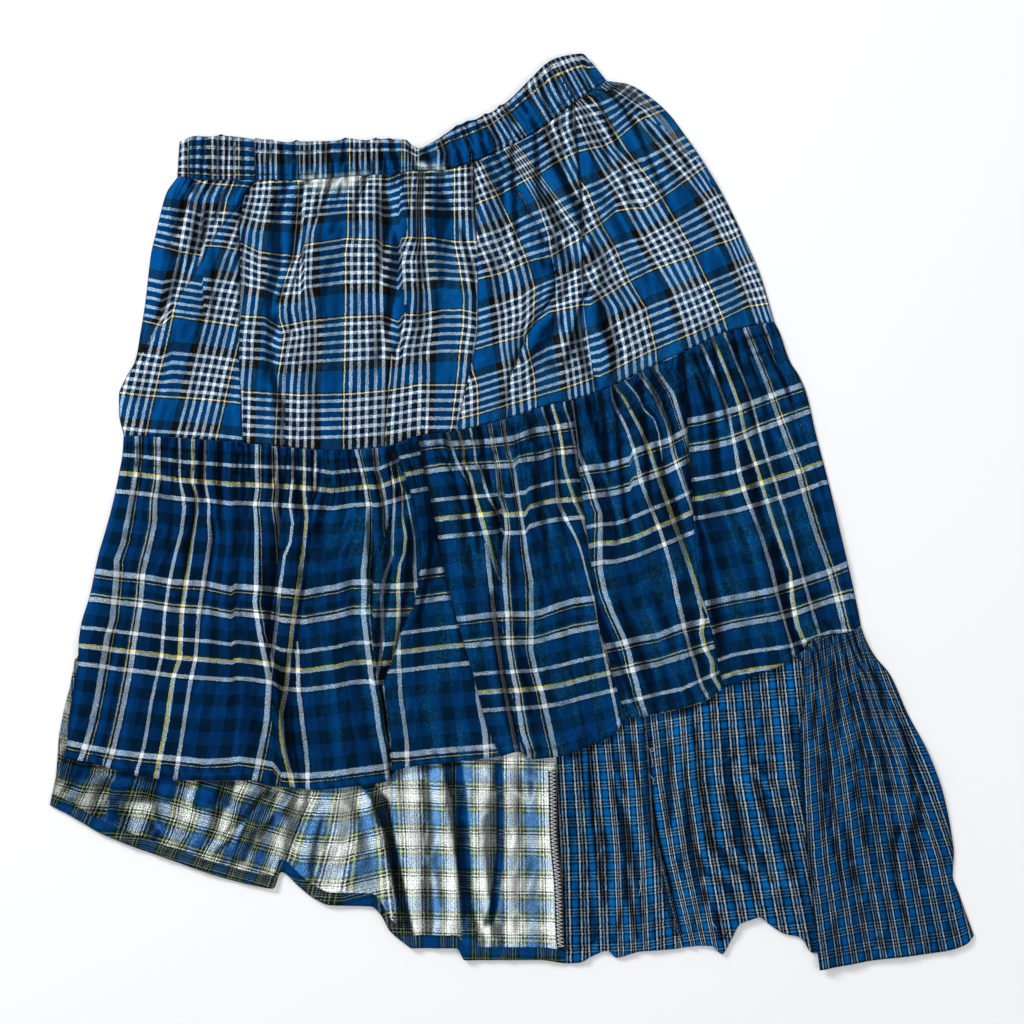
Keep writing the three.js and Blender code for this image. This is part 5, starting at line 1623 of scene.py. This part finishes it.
@dataclass
class Waistband:
    """The elastic casing: its front in two lengths, its back in one."""

    casing: float = 2.5  # mm that the front's underside lies above the floor
    thickness: float = 1.9  # mm
    depth: float = 30.0  # mm from its top edge to its seam
    ridge: float = 2.0  # mm high
    scallop: float = 2.4  # mm that the gathers notch its top edge
    scallop_length: float = 14.0  # mm from one notch to the next
    rows: tuple[float, float] = (0.27, 0.86)  # stitch rows, as fractions of its depth
    row_width: float = 1.1  # mm
    # Painted shade in the casing's hollows and painted light on its gathers.
    relief_shading: float = 1.5
    panels: list[Panel] = field(default_factory=list)

    def _front(self, first: bool, waves: int, width: float) -> Underside:
        """Underside of a front length, with the ridges of its gathers added."""

        def under(panel: Panel, x: Array, y: Array, s: Array, t: Array) -> Array:
            """Height at each point."""
            from_side = (s if first else 1 - s) * width
            spread = 0.45 + 0.55 * smooth(t * 4) * smooth((1.15 - t) * 3)
            ridge = gathers(s, np.zeros(s.shape), waves, self.ridge, 1) * spread
            rounded = -0.9 * (1 - roll(t * self.depth + 0.5)) - 0.7 * (1 - roll((1 - t) * self.depth + 1.0))
            sunk = -0.45 * sum(np.exp(-(((t - row) * self.depth / self.row_width) ** 2)) for row in self.rows)
            return self.casing * roll(from_side) + ridge + rounded + sunk

        return under

    def build(self, cloth: bpy.types.Material) -> None:
        """Builds the three lengths of casing."""
        specs = (
            ("short", (-279, -216), (-281, -215), BAND_SHORT, 6, (86, 31), 34, 0.55),
            ("long", (-216, 64), (-215, 79), BAND_LONG, 24, (420, 31), 30, 0.6),
        )
        for k, (name, top, foot, layout, waves, cut, length, pucker) in enumerate(specs):
            panel = Panel(
                f"waistband_{name}_casing", "yoke_plaid", (WAIST_TOP, *top), (WAIST_SEAM, *foot), None, None,
                layout, (f"waistband_front_{name}",), self._front(k == 0, waves, top[1] - top[0]), cut,
                step=(1.0, 1.4), thickness=self.thickness, above=0.2, length=length, drape=BAND_FOLDS,
                rests_on=("waistband_back_casing",), pucker=partial(np.full_like, fill_value=pucker),
                left_seam=k != 0, right_seam=k != 1, painted_shading=band_shading, relief_shading=self.relief_shading,
            )
            panel.lay_out()
            notch = ridges(panel.s * (foot[1] - foot[0]) / self.scallop_length, np.zeros(panel.s.shape), 31) - 0.5
            panel.y += self.scallop * notch * (1 - smooth(panel.t * 2.2)) * smooth(panel.s * 20)
            self.panels.append(panel)
        self.panels.append(Panel(
            "waistband_back_casing", "yoke_plaid", (WAIST_TOP, -279 + BACK_INSET, 64 - BACK_INSET),
            (WAIST_SEAM, -281 + BACK_INSET, 79 - BACK_INSET), None, None, plain_layout(180, 150),
            ("waistband_back",), lying_flat, (420, 31), step=(4, 5), thickness=self.thickness, above=0.0,
            length=30, gap=1.2,
        ))
        for panel in self.panels:
            panel.build(cloth)
            panel.declare_cut()


@dataclass
class Tier:
    """A tier of four front panels, gathered along their top, over one back panel."""

    name: str
    lines: tuple[Path, Path]  # its upper and its lower seam or edge
    drape: Drape  # of its first front panel; the next ones have the next seeds
    pinches: tuple[Crease, ...]
    length: float  # mm, of a front panel
    step: tuple[float, float]
    puckered: float  # fraction of the length
    panels: list[Panel] = field(default_factory=list)

    def _raised(self, x: Array, y: Array, s: Array, t: Array, waves: int) -> Array:
        """Height of a front panel's underside away from the tier's sides."""
        raise NotImplementedError

    def _open(self, y: Array) -> Array:
        """1 where the tier's left side is open, 0 where it is folded or sewn."""
        return np.zeros(y.shape)

    def _front(self, first: bool, last: bool, waves: int) -> Underside:
        """Underside of a front panel, which rolls down to the back at the tier's sides."""

        def under(panel: Panel, x: Array, y: Array, s: Array, t: Array) -> Array:
            """Height at each point."""
            height = self._raised(x, y, s, t, waves)
            if first:
                closed = roll(s * panel.width_at(t))
                return height * (closed + (1 - closed) * self._open(y))
            return height * roll((1 - s) * panel.width_at(t)) if last else height

        return under

    def _add(self, panel: Panel, cloth: bpy.types.Material) -> None:
        """Builds a panel of the tier."""
        panel.build(cloth)
        panel.declare_cut()
        self.panels.append(panel)

    def _build_fronts(self, cloth: bpy.types.Material, specs: Sequence[tuple], worn: OverPlan) -> None:
        """Builds the front panels.

        Args:
            cloth: Their cloth.
            specs: For each, its top's and its foot's range, its sides, its waves, its layout and its cut.
            worn: How worn the cloth is over the plan.
        """
        for k, (top, foot, left, right, waves, layout, cut) in enumerate(specs):
            self._add(Panel(
                f"{self.name}_panel_{k + 1}", f"{self.name}_plaid", (self.lines[0], *top), (self.lines[1], *foot),
                left, right, layout, (f"{self.name}_front_{k + 1}",),
                self._front(k == 0, k == len(specs) - 1, waves), cut, length=self.length, step=self.step,
                rests_on=(f"{self.name}_back_panel",), pucker=gathered_top(self.puckered), worn=worn,
                left_seam=k != 0, right_seam=k != len(specs) - 1, pinches=self.pinches,
                drape=replace(self.drape, seed=self.drape.seed + k),
            ), cloth)

    def _build_back(
        self, cloth: bpy.types.Material, top: tuple, foot: tuple, left: Path, right: Path, layout: Layout,
        cut: tuple[float, float],
    ) -> None:
        """Builds the plain back panel, which lies a little inside the front."""
        self._add(Panel(
            f"{self.name}_back_panel", f"{self.name}_plaid", top, foot, inset(left, BACK_INSET),
            inset(right, -BACK_INSET), layout, (f"{self.name}_back",), lying_flat, cut, step=(5, 6), above=0.15,
        ), cloth)


@dataclass
class Yoke(Tier):
    """The top tier, gathered onto the waistband."""

    name: str = "yoke"
    lines: tuple[Path, Path] = (WAIST_SEAM, YOKE_SEAM)
    drape: Drape = Drape(tight=1.2, tight_depth=0.06, long=1.3, long_length=16, long_fade=0.35, seed=20)
    pinches: tuple[Crease, ...] = YOKE_PINCHES
    length: float = 230
    step: tuple[float, float] = (1.6, 2.2)
    puckered: float = 0.12
    waist_lift: float = 1.0  # mm
    gather_height: float = 2.6  # mm

    def _raised(self, x: Array, y: Array, s: Array, t: Array, waves: int) -> Array:
        """Height of a front panel's underside: it climbs to the waistband."""
        lift = FRONT_FLOOR + self.waist_lift * (1 - smooth(t / 0.15))
        return lift + creased(YOKE_CREASES, x, y) + gathers(s, t, waves, self.gather_height, 0.75)

    def build(self, cloth: bpy.types.Material) -> None:
        """Builds the panels, front first."""
        self._build_fronts(cloth, (
            ((-281, -215), (-326, -226), YOKE_LEFT, YOKE_SEAM_1, 4, YOKE_1, (112, 225)),
            ((-215, -32), (-226, -47), YOKE_SEAM_1, YOKE_SEAM_2, 8, YOKE_2, (240, 225)),
            ((-32, 52), (-47, 70), YOKE_SEAM_2, YOKE_SEAM_3, 5, YOKE_3, (126, 232)),
            ((52, 79), (70, 220), YOKE_SEAM_3, YOKE_RIGHT, 5, YOKE_4, (170, 235)),
        ), lambda x, y: 0.55 + 0.45 * smooth((x + 120) / 200))
        self._build_back(
            cloth, (WAIST_SEAM, -281 + BACK_INSET, 79 - BACK_INSET), (YOKE_SEAM, -326 + BACK_INSET, 220 - BACK_INSET),
            YOKE_LEFT, YOKE_RIGHT, plain_layout(190, 240), (640, 230),
        )


def free_hem(x: Array) -> Array:
    """1 where the middle tier's hem is free, 0 where the ruffle is sewn to it."""
    return smooth((RUFFLE_START - x) / 20)


@dataclass
class MiddleTier(Tier):
    """The middle tier, shirred along its top, with a free hem."""

    name: str = "middle"
    lines: tuple[Path, Path] = (YOKE_SEAM, FRONT_HEM)
    drape: Drape = Drape(tight=1.5, tight_depth=0.11, long=1.5, long_length=19, long_fade=0.5, seed=40)
    pinches: tuple[Crease, ...] = MIDDLE_PINCHES
    length: float = 272
    step: tuple[float, float] = (1.7, 2.4)
    puckered: float = 0.14
    hem_lift: float = HEM_LIFT
    hem_reach: float = HEM_REACH
    hem_row: float = 0.972  # where the hem is stitched and ends, as a fraction of the length
    grooves: tuple[float, float] = (0.034, 0.088)  # the shirring rows sink the cloth
    groove_width: float = 1.6  # mm
    side_opens: float = -100.0  # mm

    def _raised(self, x: Array, y: Array, s: Array, t: Array, waves: int) -> Array:
        """Height of a front panel's underside: it is shirred at the top and stands off at its doubled hem."""
        depth = YOKE_SEAM[0][1] - FRONT_HEM[0][1]
        lift = self.hem_lift * smooth(1 - (1 - t) * depth / self.hem_reach) * free_hem(x)
        height = FRONT_FLOOR + lift + creased(MIDDLE_CREASES, x, y) + gathers(s, t, waves, 2.8, 0.6)
        rope = 0.25 * np.sin(x * 0.55 + y * 0.3) * smooth((t - 0.95) / 0.03)
        height += 0.35 * smooth((t - self.hem_row) / 0.006) + rope
        for row in self.grooves:
            height -= 0.5 * np.exp(-(((t - row) * depth / self.groove_width) ** 2))
        return height

    def _open(self, y: Array) -> Array:
        """1 where the tier's left side is open, 0 where it is sewn."""
        return smooth((self.side_opens - y) / 10)

    def build(self, cloth: bpy.types.Material) -> None:
        """Builds the panels, front first."""
        self._build_fronts(cloth, (
            ((-326, -79), (-376, -10), MIDDLE_LEFT, MIDDLE_SEAM_1, 12, MIDDLE_1, (440, 272)),
            ((-79, 49), (-10, 96), MIDDLE_SEAM_1, MIDDLE_SEAM_2, 7, MIDDLE_2, (165, 270)),
            ((49, 143), (96, 177), MIDDLE_SEAM_2, MIDDLE_SEAM_3, 5, MIDDLE_3, (118, 272)),
            ((143, 220), (177, 293), MIDDLE_SEAM_3, MIDDLE_RIGHT, 6, MIDDLE_4, (130, 272)),
        ), lambda x, y: 0.08 + 0.92 * smooth((x + 200) / 90))
        self._build_back(
            cloth, (YOKE_SEAM, -326 + BACK_INSET, 220 - BACK_INSET), (BACK_SEAM, -357, 286),
            MIDDLE_LEFT, MIDDLE_RIGHT, plain_layout(140, 575), (760, 250),
        )


def free_side(y: Array) -> Array:
    """1 where the ruffle's left side is free, 0 where it is sewn."""
    return smooth((RUFFLE_LEFT[0][1] - y) / 30)


@dataclass
class Ruffle:
    """The front of the lowest tier: one ruffle under the right end of the middle tier."""

    widths: tuple[float, float] = (54, 130)  # mm, at its top and at its foot
    hem_lift: float = HEM_LIFT
    hem_reach: float = HEM_REACH
    panel: Optional[Panel] = None

    def _under(self, panel: Panel, x: Array, y: Array, s: Array, t: Array) -> Array:
        """Underside of the ruffle."""
        width = self.widths[0] + (self.widths[1] - self.widths[0]) * t
        lift = self.hem_lift * smooth(1 - (s * width) / self.hem_reach) * free_side(y)
        height = FRONT_FLOOR + lift + creased(RUFFLE_CREASES, x, y) + gathers(s, t, 8, 2.6, 0.55)
        return height * roll((1 - s) * width)

    def build(self, cloth: bpy.types.Material) -> None:
        """Builds the ruffle."""
        self.panel = Panel(
            "ruffle_panel", "teal_check", (FRONT_HEM, 239, 293), (RUFFLE_HEM, 258, 388), RUFFLE_LEFT, RUFFLE_RIGHT,
            RUFFLE_LAYOUT, ("ruffle_front",), self._under, (135, 272), length=272, gap=0.6,
            rests_on=("lower_check_panel_2",), pucker=gathered_top(0.2), left_seam=False, right_seam=False,
            step=(1.3, 2.4), pinches=RUFFLE_PINCHES,
            drape=Drape(tight=1.5, tight_depth=0.13, long=2.2, long_length=17, long_fade=0.25, seed=60),
        )
        self.panel.build(cloth)
        self.panel.declare_cut()


def cover_cap(x: Array, y: Array) -> Array:
    """The most that a fold of the back may rise at a plan point, in millimetres."""

    def cap(depth: Array, free: Array) -> Array:
        """The cap at a depth under an edge that is free where `free` is 1."""
        covered = np.where(depth > 0, 1.8 * smooth(1 - depth / 25), 1.8)
        return free * covered + np.maximum(0, -depth) * 0.25

    under_middle = y - read_line(FRONT_HEM, x, 0)
    under_ruffle = x - read_line(RUFFLE_LEFT, y, 1)
    return np.minimum(cap(under_middle, free_hem(x)), cap(under_ruffle, free_side(y)))


def uncovered(x: Array, y: Array) -> Array:
    """1 well outside the cloth that lies on the back, 0 where that covers it."""
    below = read_line(FRONT_HEM, x, 0) - y
    beside = read_line(RUFFLE_LEFT, y, 1) - x
    return smooth((below - 1) / 9) * smooth((beside - 1) / 9)


@dataclass
class LowerPanel(Panel):
    """A back panel of the lowest tier, laid out in three bands so that a row of it follows the front's hem."""

    cover: tuple[Path, float, float] = (COVER_LINE, 0, 0)
    turn: tuple[Path, float, float] = (COVER_LINE, 0, 0)
    covered_rows: int = 8
    starts: float = 0.004  # fraction left clear under the front

    def lay_out(self) -> None:
        """Works out where every point of the panel lies, band by band."""
        widest = abs(self.foot[2] - self.foot[1])
        columns = max(8, int(round(widest / self.step[0])))
        s = np.linspace(self.gap / widest, 1 - self.gap / widest, columns + 1)
        shown = int(self.length / self.step[1])
        bands = (
            (self.top, self.cover, self.covered_rows), (self.cover, self.turn, shown), (self.turn, self.foot, HEM_ROWS),
        )
        xs, ys, ts = [], [], []
        for k, (upper, lower, rows) in enumerate(bands):
            t = np.linspace(1 / rows if k else self.starts, 1, rows if k else rows + 1)
            x, y = coons(upper, lower, self.left, self.right, s, t)
            xs.append(x), ys.append(y), ts.append((k + t) / 3)
        self.x, self.y = np.concatenate(xs), np.concatenate(ys)
        self.s, self.t = np.meshgrid(s, np.concatenate(ts))
        self.z = self.under(self, self.x, self.y, self.s, self.t) + self.above + self._laps() * 0.6 + self.thickness
        self.z += self._folds()


@dataclass
class LowerBack:
    """The back of the lowest tier, whose inner face shows: a tartan panel, two check panels and their turned hems."""

    hem_above: float = 0.9  # mm from the panel's face to the hem's own
    hem_bulge: float = 0.25  # mm
    hem_ends: float = 4.0  # mm left of the ruffle
    panels: list[Panel] = field(default_factory=list)
    hems: list[bpy.types.Object] = field(default_factory=list)

    @staticmethod
    def _fold(creases: Sequence[Crease], waves: int, height: float) -> Underside:
        """Underside of a panel, whose folds stay low where the front covers it."""

        def under(panel: Panel, x: Array, y: Array, s: Array, t: Array) -> Array:
            """Height at each point."""
            return np.minimum(cover_cap(x, y), creased(creases, x, y) + gathers(s, t, waves, height, 1.4))

        return under

    def build(self, tartan: bpy.types.Material, turned: bpy.types.Material, check: bpy.types.Material) -> None:
        """Builds the panels and the hems on them.

        Args:
            tartan: Inner face of the tartan.
            turned: Right side of the tartan, which its turned hem shows.
            check: The small check.
        """
        specs = (
            ("lower_tartan_panel", "lower_back_tartan", "dress_tartan", "dress_tartan_face", (-357, 32), (-382, 37),
             (-386, 45), (-388, 46), TARTAN_HEM, TARTAN_LEFT, TARTAN_SEAM, self._fold(TARTAN_CREASES, 15, 1.8),
             TARTAN_LAYOUT, (440, 232), tartan, turned),
            ("lower_check_panel_1", "lower_back_check_1", "teal_check", "teal_check", (32, 108), (37, 112), (45, 142),
             (46, 145), CHECK_HEM, TARTAN_SEAM, CHECK_SEAM, self._fold(CHECK_CREASES, 5, 2), CHECK_LAYOUT, (110, 235),
             check, check),
            ("lower_check_panel_2", "lower_back_check_2", "teal_check", "teal_check", (108, 286), (112, 309),
             (142, 379), (145, 381), CHECK_HEM, CHECK_SEAM, inset(RUFFLE_RIGHT, -BACK_INSET),
             self._fold(CHECK_CREASES, 7, 2), CHECK_LAYOUT, (260, 260), check, check),
        )
        for (name, node, slot, hem_slot, top, cover, turn, foot, hem, left, right, under, layout, cut, cloth,
             face) in specs:
            turn_line = tuple((x, y + HEM_TURN) for x, y in hem)
            panel = LowerPanel(
                name, slot, (BACK_SEAM, *top), (hem, *foot), left, right, layout, (node,), under, cut, length=170,
                cover=(COVER_LINE, *cover), turn=(turn_line, *turn), above=0.3, step=(1.7, 2.3),
                drape=Drape(tight=0, long=1.9, long_length=15, long_fade=0.15, seed=80 + len(self.panels)),
                exposed=uncovered, reverses=not self.panels, pinches=TARTAN_PINCHES + CHECK_PINCHES,
                painted_shading=check_shading if self.panels else tartan_shading, relief_shading=0.9,
                worn=lambda x, y: np.full(x.shape, 0.7),
            )
            panel.build(cloth)
            self.panels.append(panel)
            self.hems.append(self._hem(panel, f"{name}_hem", f"{node}_hem", hem_slot, layout, face))

    def declare_cuts(self, allowances: Sequence[bpy.types.Object]) -> None:
        """Calls each panel's declare_cut, which records nothing, with its turned hem and its bound seam allowance."""
        for k, panel in enumerate(self.panels):
            panel.declare_cut(self.hems[k], *allowances[k : k + 1])

    def _hem(
        self, panel: Panel, name: str, node: str, slot: str, layout: Layout, face: bpy.types.Material
    ) -> bpy.types.Object:
        """The turned-up hem, laid on the panel's own lowest rows and rounded where it turns."""
        shows = panel.x[-1] < read_line(RUFFLE_LEFT, panel.y[-1], 1) - self.hem_ends
        x, y, z = (grid[-HEM_ROWS - 1 :, shows] for grid in (panel.x, panel.y, panel.z))
        fold = np.linspace(1, 0, HEM_ROWS + 1)[:, None]
        piece = grid_object(name, x, y, z + self.hem_above + self.hem_bulge * np.sin(np.pi * fold))
        # Painted shade: the hem is darker along its upper edge.
        shade = 0.72 + 0.28 * smooth((1 - fold) * 3)
        give_attributes(piece.data, x.shape, shade=shade, worn=0.4, rubbed=0.0, pucker=0.12)
        give_pattern_places(piece.data, layout)
        piece.data.materials.append(face)
        thicken(piece, CLOTH_THICKNESS * MM)
        declare(piece, slot, node)
        return piece


@dataclass
class Sewing:
    """Thread work: rows of stitches, overlocked seam allowances and loose thread ends."""

    stitch: float = 2.4 * MM
    gap: float = 0.9 * MM
    dip: float = 0.12 * MM  # into the cloth at a stitch's ends
    crown: float = 0.14 * MM  # above it between them
    shirring_rows: tuple[float, float] = (0.032, 0.085)  # rows of stitches, as fractions of a panel's length
    ruffle_rows: tuple[float, float, float] = (0.035, 0.09, 0.955)
    allowance: tuple[float, float] = (0.355, 0.675)  # where a bound seam allowance shows down a back panel
    allowance_sides: tuple[float, float] = (7.0, 0.4)  # mm from the seam
    allowance_lift: float = 0.85  # mm
    loop: float = 3.1 * MM  # from one overlock loop to the next

    @staticmethod
    def _tube(points: Array, radius: float, sides: int = 5) -> tuple[Array, list[tuple[int, ...]]]:
        """Vertices and faces of a round thread that follows points and is closed at both ends."""
        tangent = np.gradient(points, axis=0)
        tangent /= np.linalg.norm(tangent, axis=1, keepdims=True) + 1e-12
        across = np.cross(tangent, (0.0, 0.0, 1.0))
        across /= np.linalg.norm(across, axis=1, keepdims=True) + 1e-12
        up = np.cross(across, tangent)
        angle = np.linspace(0, 2 * np.pi, sides, endpoint=False)
        size = np.full(len(points), radius)
        size[[0, -1]] *= 0.55
        rings = (
            points[:, None, :]
            + across[:, None, :] * (np.cos(angle)[None, :, None] * size[:, None, None])
            + up[:, None, :] * (np.sin(angle)[None, :, None] * size[:, None, None])
        )
        faces = []
        for k in range(len(points) - 1):
            for i in range(sides):
                j = (i + 1) % sides
                faces.append((k * sides + i, k * sides + j, (k + 1) * sides + j, (k + 1) * sides + i))
        faces.append(tuple(range(sides - 1, -1, -1)))
        faces.append(tuple((len(points) - 1) * sides + i for i in range(sides)))
        return rings.reshape(-1, 3), faces

    def _join(self, name: str, paths: Sequence[Array], radius: float, finish: bpy.types.Material) -> None:
        """One object from many thread paths, of a radius in millimetres."""
        vertices, faces, start = [], [], 0
        for path in paths:
            points, quads = self._tube(np.asarray(path, float), radius * MM)
            vertices.append(points)
            faces.extend(tuple(start + i for i in quad) for quad in quads)
            start += len(points)
        mesh = bpy.data.meshes.new(name)
        mesh.from_pydata(np.concatenate(vertices).tolist(), [], faces)
        mesh.polygons.foreach_set("use_smooth", np.ones(len(mesh.polygons), bool))
        mesh.materials.append(finish)
        mesh.update()
        piece = bpy.data.objects.new(name, mesh)
        bpy.context.scene.collection.objects.link(piece)
        declare(piece, "overlock")

    def _rows(
        self, panels: Sequence[Panel], places: Sequence[float], last: float = 1.0, skip: float = 1.0
    ) -> list[Array]:
        """Rows of stitches across panels, each stitch dipping into the cloth at its ends.

        Args:
            panels: The panels, sewn one after the other.
            places: The rows, as fractions of a panel's length.
            last: The fraction of a panel's width at which a row ends.
            skip: How much further apart than usual the stitches are.

        Returns:
            The path of each stitch.
        """
        stitches = []
        for panel in panels:
            for place in places:
                path = panel.row_path(place, last)
                along = np.concatenate([[0], np.cumsum(np.linalg.norm(np.diff(path, axis=0), axis=1))])
                for start in np.arange(0, along[-1] - self.stitch, (self.stitch + self.gap) * skip):
                    at = start + self.stitch * np.array([0.0, 0.25, 0.75, 1.0])
                    points = np.stack([np.interp(at, along, path[:, k]) for k in range(3)], axis=1)
                    points[:, 2] += np.array([-self.dip, self.crown, self.crown, -self.dip])
                    stitches.append(points)
        return stitches

    def build(
        self, band: Waistband, middle: MiddleTier, ruffle: Ruffle, lower: LowerBack, check: bpy.types.Material
    ) -> None:
        """Sews everything.

        Args:
            band: The waistband.
            middle: The middle tier.
            ruffle: The ruffle.
            lower: The back of the lowest tier.
            check: The cloth of the puckered check seam.
        """
        navy, white, black = NAVY_THREAD.material(), WHITE_THREAD.material(), BLACK_THREAD.material()
        self._join("casing_stitching", self._rows(band.panels[:2], band.rows), 0.22, navy)
        self._join("shirring_stitching", self._rows(middle.panels[:4], self.shirring_rows, skip=1.4), 0.18, navy)
        self._join("middle_hem_stitching", self._rows(middle.panels[:4], [middle.hem_row]), 0.2, navy)
        self._join("ruffle_stitching", self._rows([ruffle.panel], self.ruffle_rows, last=0.93), 0.2, navy)
        tartan, first_check, second_check = lower.panels
        lower.declare_cuts([
            self._overlock("tartan_overlock", "tartan_seam_allowance", tartan, white, black),
            self._overlock("check_overlock", "check_seam_allowance", first_check, navy, check),
        ])
        self._loose_ends(first_check, second_check, white)

    def _overlock(
        self, name: str, node: str, panel: Panel, thread: bpy.types.Material, finish: bpy.types.Material
    ) -> bpy.types.Object:
        """A bound seam allowance: a narrow puckered strip beside the seam, looped over with thread."""
        rows = (panel.t[:, 0] > self.allowance[0]) & (panel.t[:, 0] < self.allowance[1])
        width = panel.foot[2] - panel.foot[1]
        inner, outer = (panel.column_path(1 - side / width)[rows] / MM for side in self.allowance_sides)
        f = np.linspace(0, 1, 6)[None, :]
        x = inner[:, :1] * (1 - f) + outer[:, :1] * f
        y = inner[:, 1:2] * (1 - f) + outer[:, 1:2] * f
        ripple = 0.35 * np.sin(np.arange(len(inner))[:, None] * 0.9)
        top = np.maximum(inner[:, 2:], outer[:, 2:]) * np.ones(x.shape)
        z = top + self.allowance_lift + 0.25 * np.sin(np.pi * f) + ripple * 0.3
        strip = grid_object(f"{name}_strip", x, y, z)
        # Painted shade halves the strip's brightness.
        give_attributes(strip.data, x.shape, shade=0.5, worn=0.0, pucker=1.0)
        give_pattern_places(strip.data, panel.layout)
        strip.data.materials.append(finish)
        thicken(strip, CLOTH_THICKNESS * MM)
        declare(strip, "overlock", node)
        centre = np.stack([x, y, z], axis=2) * MM
        along = np.concatenate([[0], np.cumsum(np.linalg.norm(np.diff(centre[:, 3], axis=0), axis=1))])

        def at(place: float, f: float) -> Array:
            """A point on the strip at a length along it and a fraction across it."""
            left = np.array([np.interp(place, along, centre[:, 0, k]) for k in range(3)])
            right = np.array([np.interp(place, along, centre[:, -1, k]) for k in range(3)])
            return left * (1 - f) + right * f + np.array([0, 0, 0.3 * MM])

        loops, needle = [], []
        for number, start in enumerate(np.arange(0, along[-1] - self.loop, self.loop)):
            middle = start + self.loop * 0.5
            loops.append([at(start, 0.1), at(start + self.loop * 0.25, 0.5), at(middle, 0.95)])
            loops.append([at(middle, 0.95), at(start + self.loop * 0.75, 0.55), at(start + self.loop, 0.1)])
            if number % 2 == 0:
                needle.append([at(start, 0.3), at(start + self.loop, 0.33), at(start + self.loop * 1.8, 0.3)])
        self._join(f"{name}_loops", loops, 0.32, thread)
        self._join(f"{name}_needle_thread", needle, 0.2, thread)
        return strip

    def _loose_ends(self, first: Panel, second: Panel, white: bpy.types.Material) -> None:
        """Thread ends beside the check seam and lint on the cloth, each lying on what is under it."""

        def lay(panel: Panel, *row: float) -> Array:
            """Points of a curl that lie just over a panel."""
            points = []
            for square in squares(row):
                px, py = to_plan(*square)
                near = np.argmin((panel.x - px) ** 2 + (panel.y - py) ** 2)
                points.append((px * MM, py * MM, (panel.z.flat[near] + 0.5) * MM))
            return np.array(points)

        curls = [
            lay(second, 648, 741, 647, 745, 650, 750, 653, 752, 654.5, 750, 652, 748, 650.5, 751, 652, 757, 653, 763,
                652, 768),
            lay(second, 648, 771, 650, 775, 654, 780, 653, 785),
            lay(first, 640, 880, 641, 888, 639, 896),
            lay(second, 712, 921, 714, 925, 717, 929),
        ]
        self._join("loose_thread_ends", curls, 0.24, white)
        red_end = lay(second, 713, 925, 715, 927, 718, 927.5)
        self._join("red_thread_end", [red_end], 0.3, RED_THREAD.material())


@dataclass
class Studio:
    """The plain pale floor, soft light and a camera straight above."""

    distance: float = 2.389
    lens: float = 100.0

    def build(self) -> None:
        """Sets the scene round the skirt."""
        self._floor()
        self._lights()
        self._camera()
        bpy.context.scene.view_settings.view_transform = "Standard"

    def _floor(self) -> None:
        """A pale matt floor under the skirt."""
        bpy.ops.object.select_all(action="DESELECT")
        bpy.ops.mesh.primitive_plane_add(size=8.0, location=(0, 0, 0))
        floor = bpy.context.active_object
        floor.name = "studio_floor"
        floor.data.vertices.foreach_set("co", [c for v in floor.data.vertices for c in (v.co.x, v.co.y, -0.0002)])
        material, tree = new_material("matt white paper")
        place = add_node(tree, "ShaderNodeTexCoord").outputs["Object"]
        tooth = add_node(tree, "ShaderNodeTexNoise", inputs={"Vector": place, "Scale": 900.0})
        bump = add_node(tree, "ShaderNodeBump", inputs={"Height": tooth.outputs["Fac"], "Distance": 0.00005})
        finish_material(tree, {"Base Color": linear("ffffff"), "Roughness": 1.0, "Normal": bump.outputs["Normal"]})
        floor.data.materials.append(material)

    @staticmethod
    def _area(name: str, place: tuple[float, float, float], size: float, power: float) -> None:
        """A square soft light that faces the skirt."""
        light = bpy.data.lights.new(name, "AREA")
        light.shape, light.size, light.energy = "SQUARE", size, power
        lamp = bpy.data.objects.new(name, light)
        lamp.location = place
        aim = -np.array(place) / np.linalg.norm(place)
        lamp.rotation_euler = (math.acos(-aim[2]), 0, math.atan2(aim[1], aim[0]) - math.pi / 2)
        bpy.context.scene.collection.objects.link(lamp)

    def _lights(self) -> None:
        """One raking key from the upper left, a weak fill from the right, and an even pale surround."""
        self._area("key", (-1.9, 1.7, 1.5), 0.9, 66.0)
        self._area("fill", (2.0, -0.6, 2.4), 1.6, 14.0)
        world = bpy.data.worlds.new("pale surround")
        bpy.context.scene.world = world
        world.use_nodes = True
        background = world.node_tree.nodes["Background"]
        background.inputs["Color"].default_value = linear("f4f6fa")
        background.inputs["Strength"].default_value = 0.58

    def _camera(self) -> None:
        """A long lens straight above the frame's origin."""
        camera = bpy.data.cameras.new("camera")
        camera.lens, camera.sensor_width = self.lens, 36.0
        camera.clip_start, camera.clip_end = 0.05, 20.0
        holder = bpy.data.objects.new("camera", camera)
        holder.location = (0, 0, self.distance)
        bpy.context.scene.collection.objects.link(holder)
        bpy.context.scene.camera = holder


def main() -> None:
    """Builds every sub-assembly in order."""
    logging.basicConfig(level=logging.INFO, format="%(name)s: %(message)s")
    bpy.ops.object.select_all(action="DESELECT")
    Studio().build()
    yoke_cloth = YOKE_CLOTH.material()
    middle_cloth = MIDDLE_CLOTH.material()
    check_cloth = CHECK_CLOTH.material()
    band = Waistband()
    band.build(yoke_cloth)
    yoke = Yoke()
    yoke.build(yoke_cloth)
    middle = MiddleTier()
    middle.build(middle_cloth)
    lower = LowerBack()
    lower.build(TARTAN_CLOTH.material(), TURNED_CLOTH.material(), check_cloth)
    ruffle = Ruffle()
    ruffle.build(RUFFLE_CLOTH.material())
    Sewing().build(band, middle, ruffle, lower, check_cloth)
    bpy.context.view_layer.update()


if __name__ == "__main__":
    main()
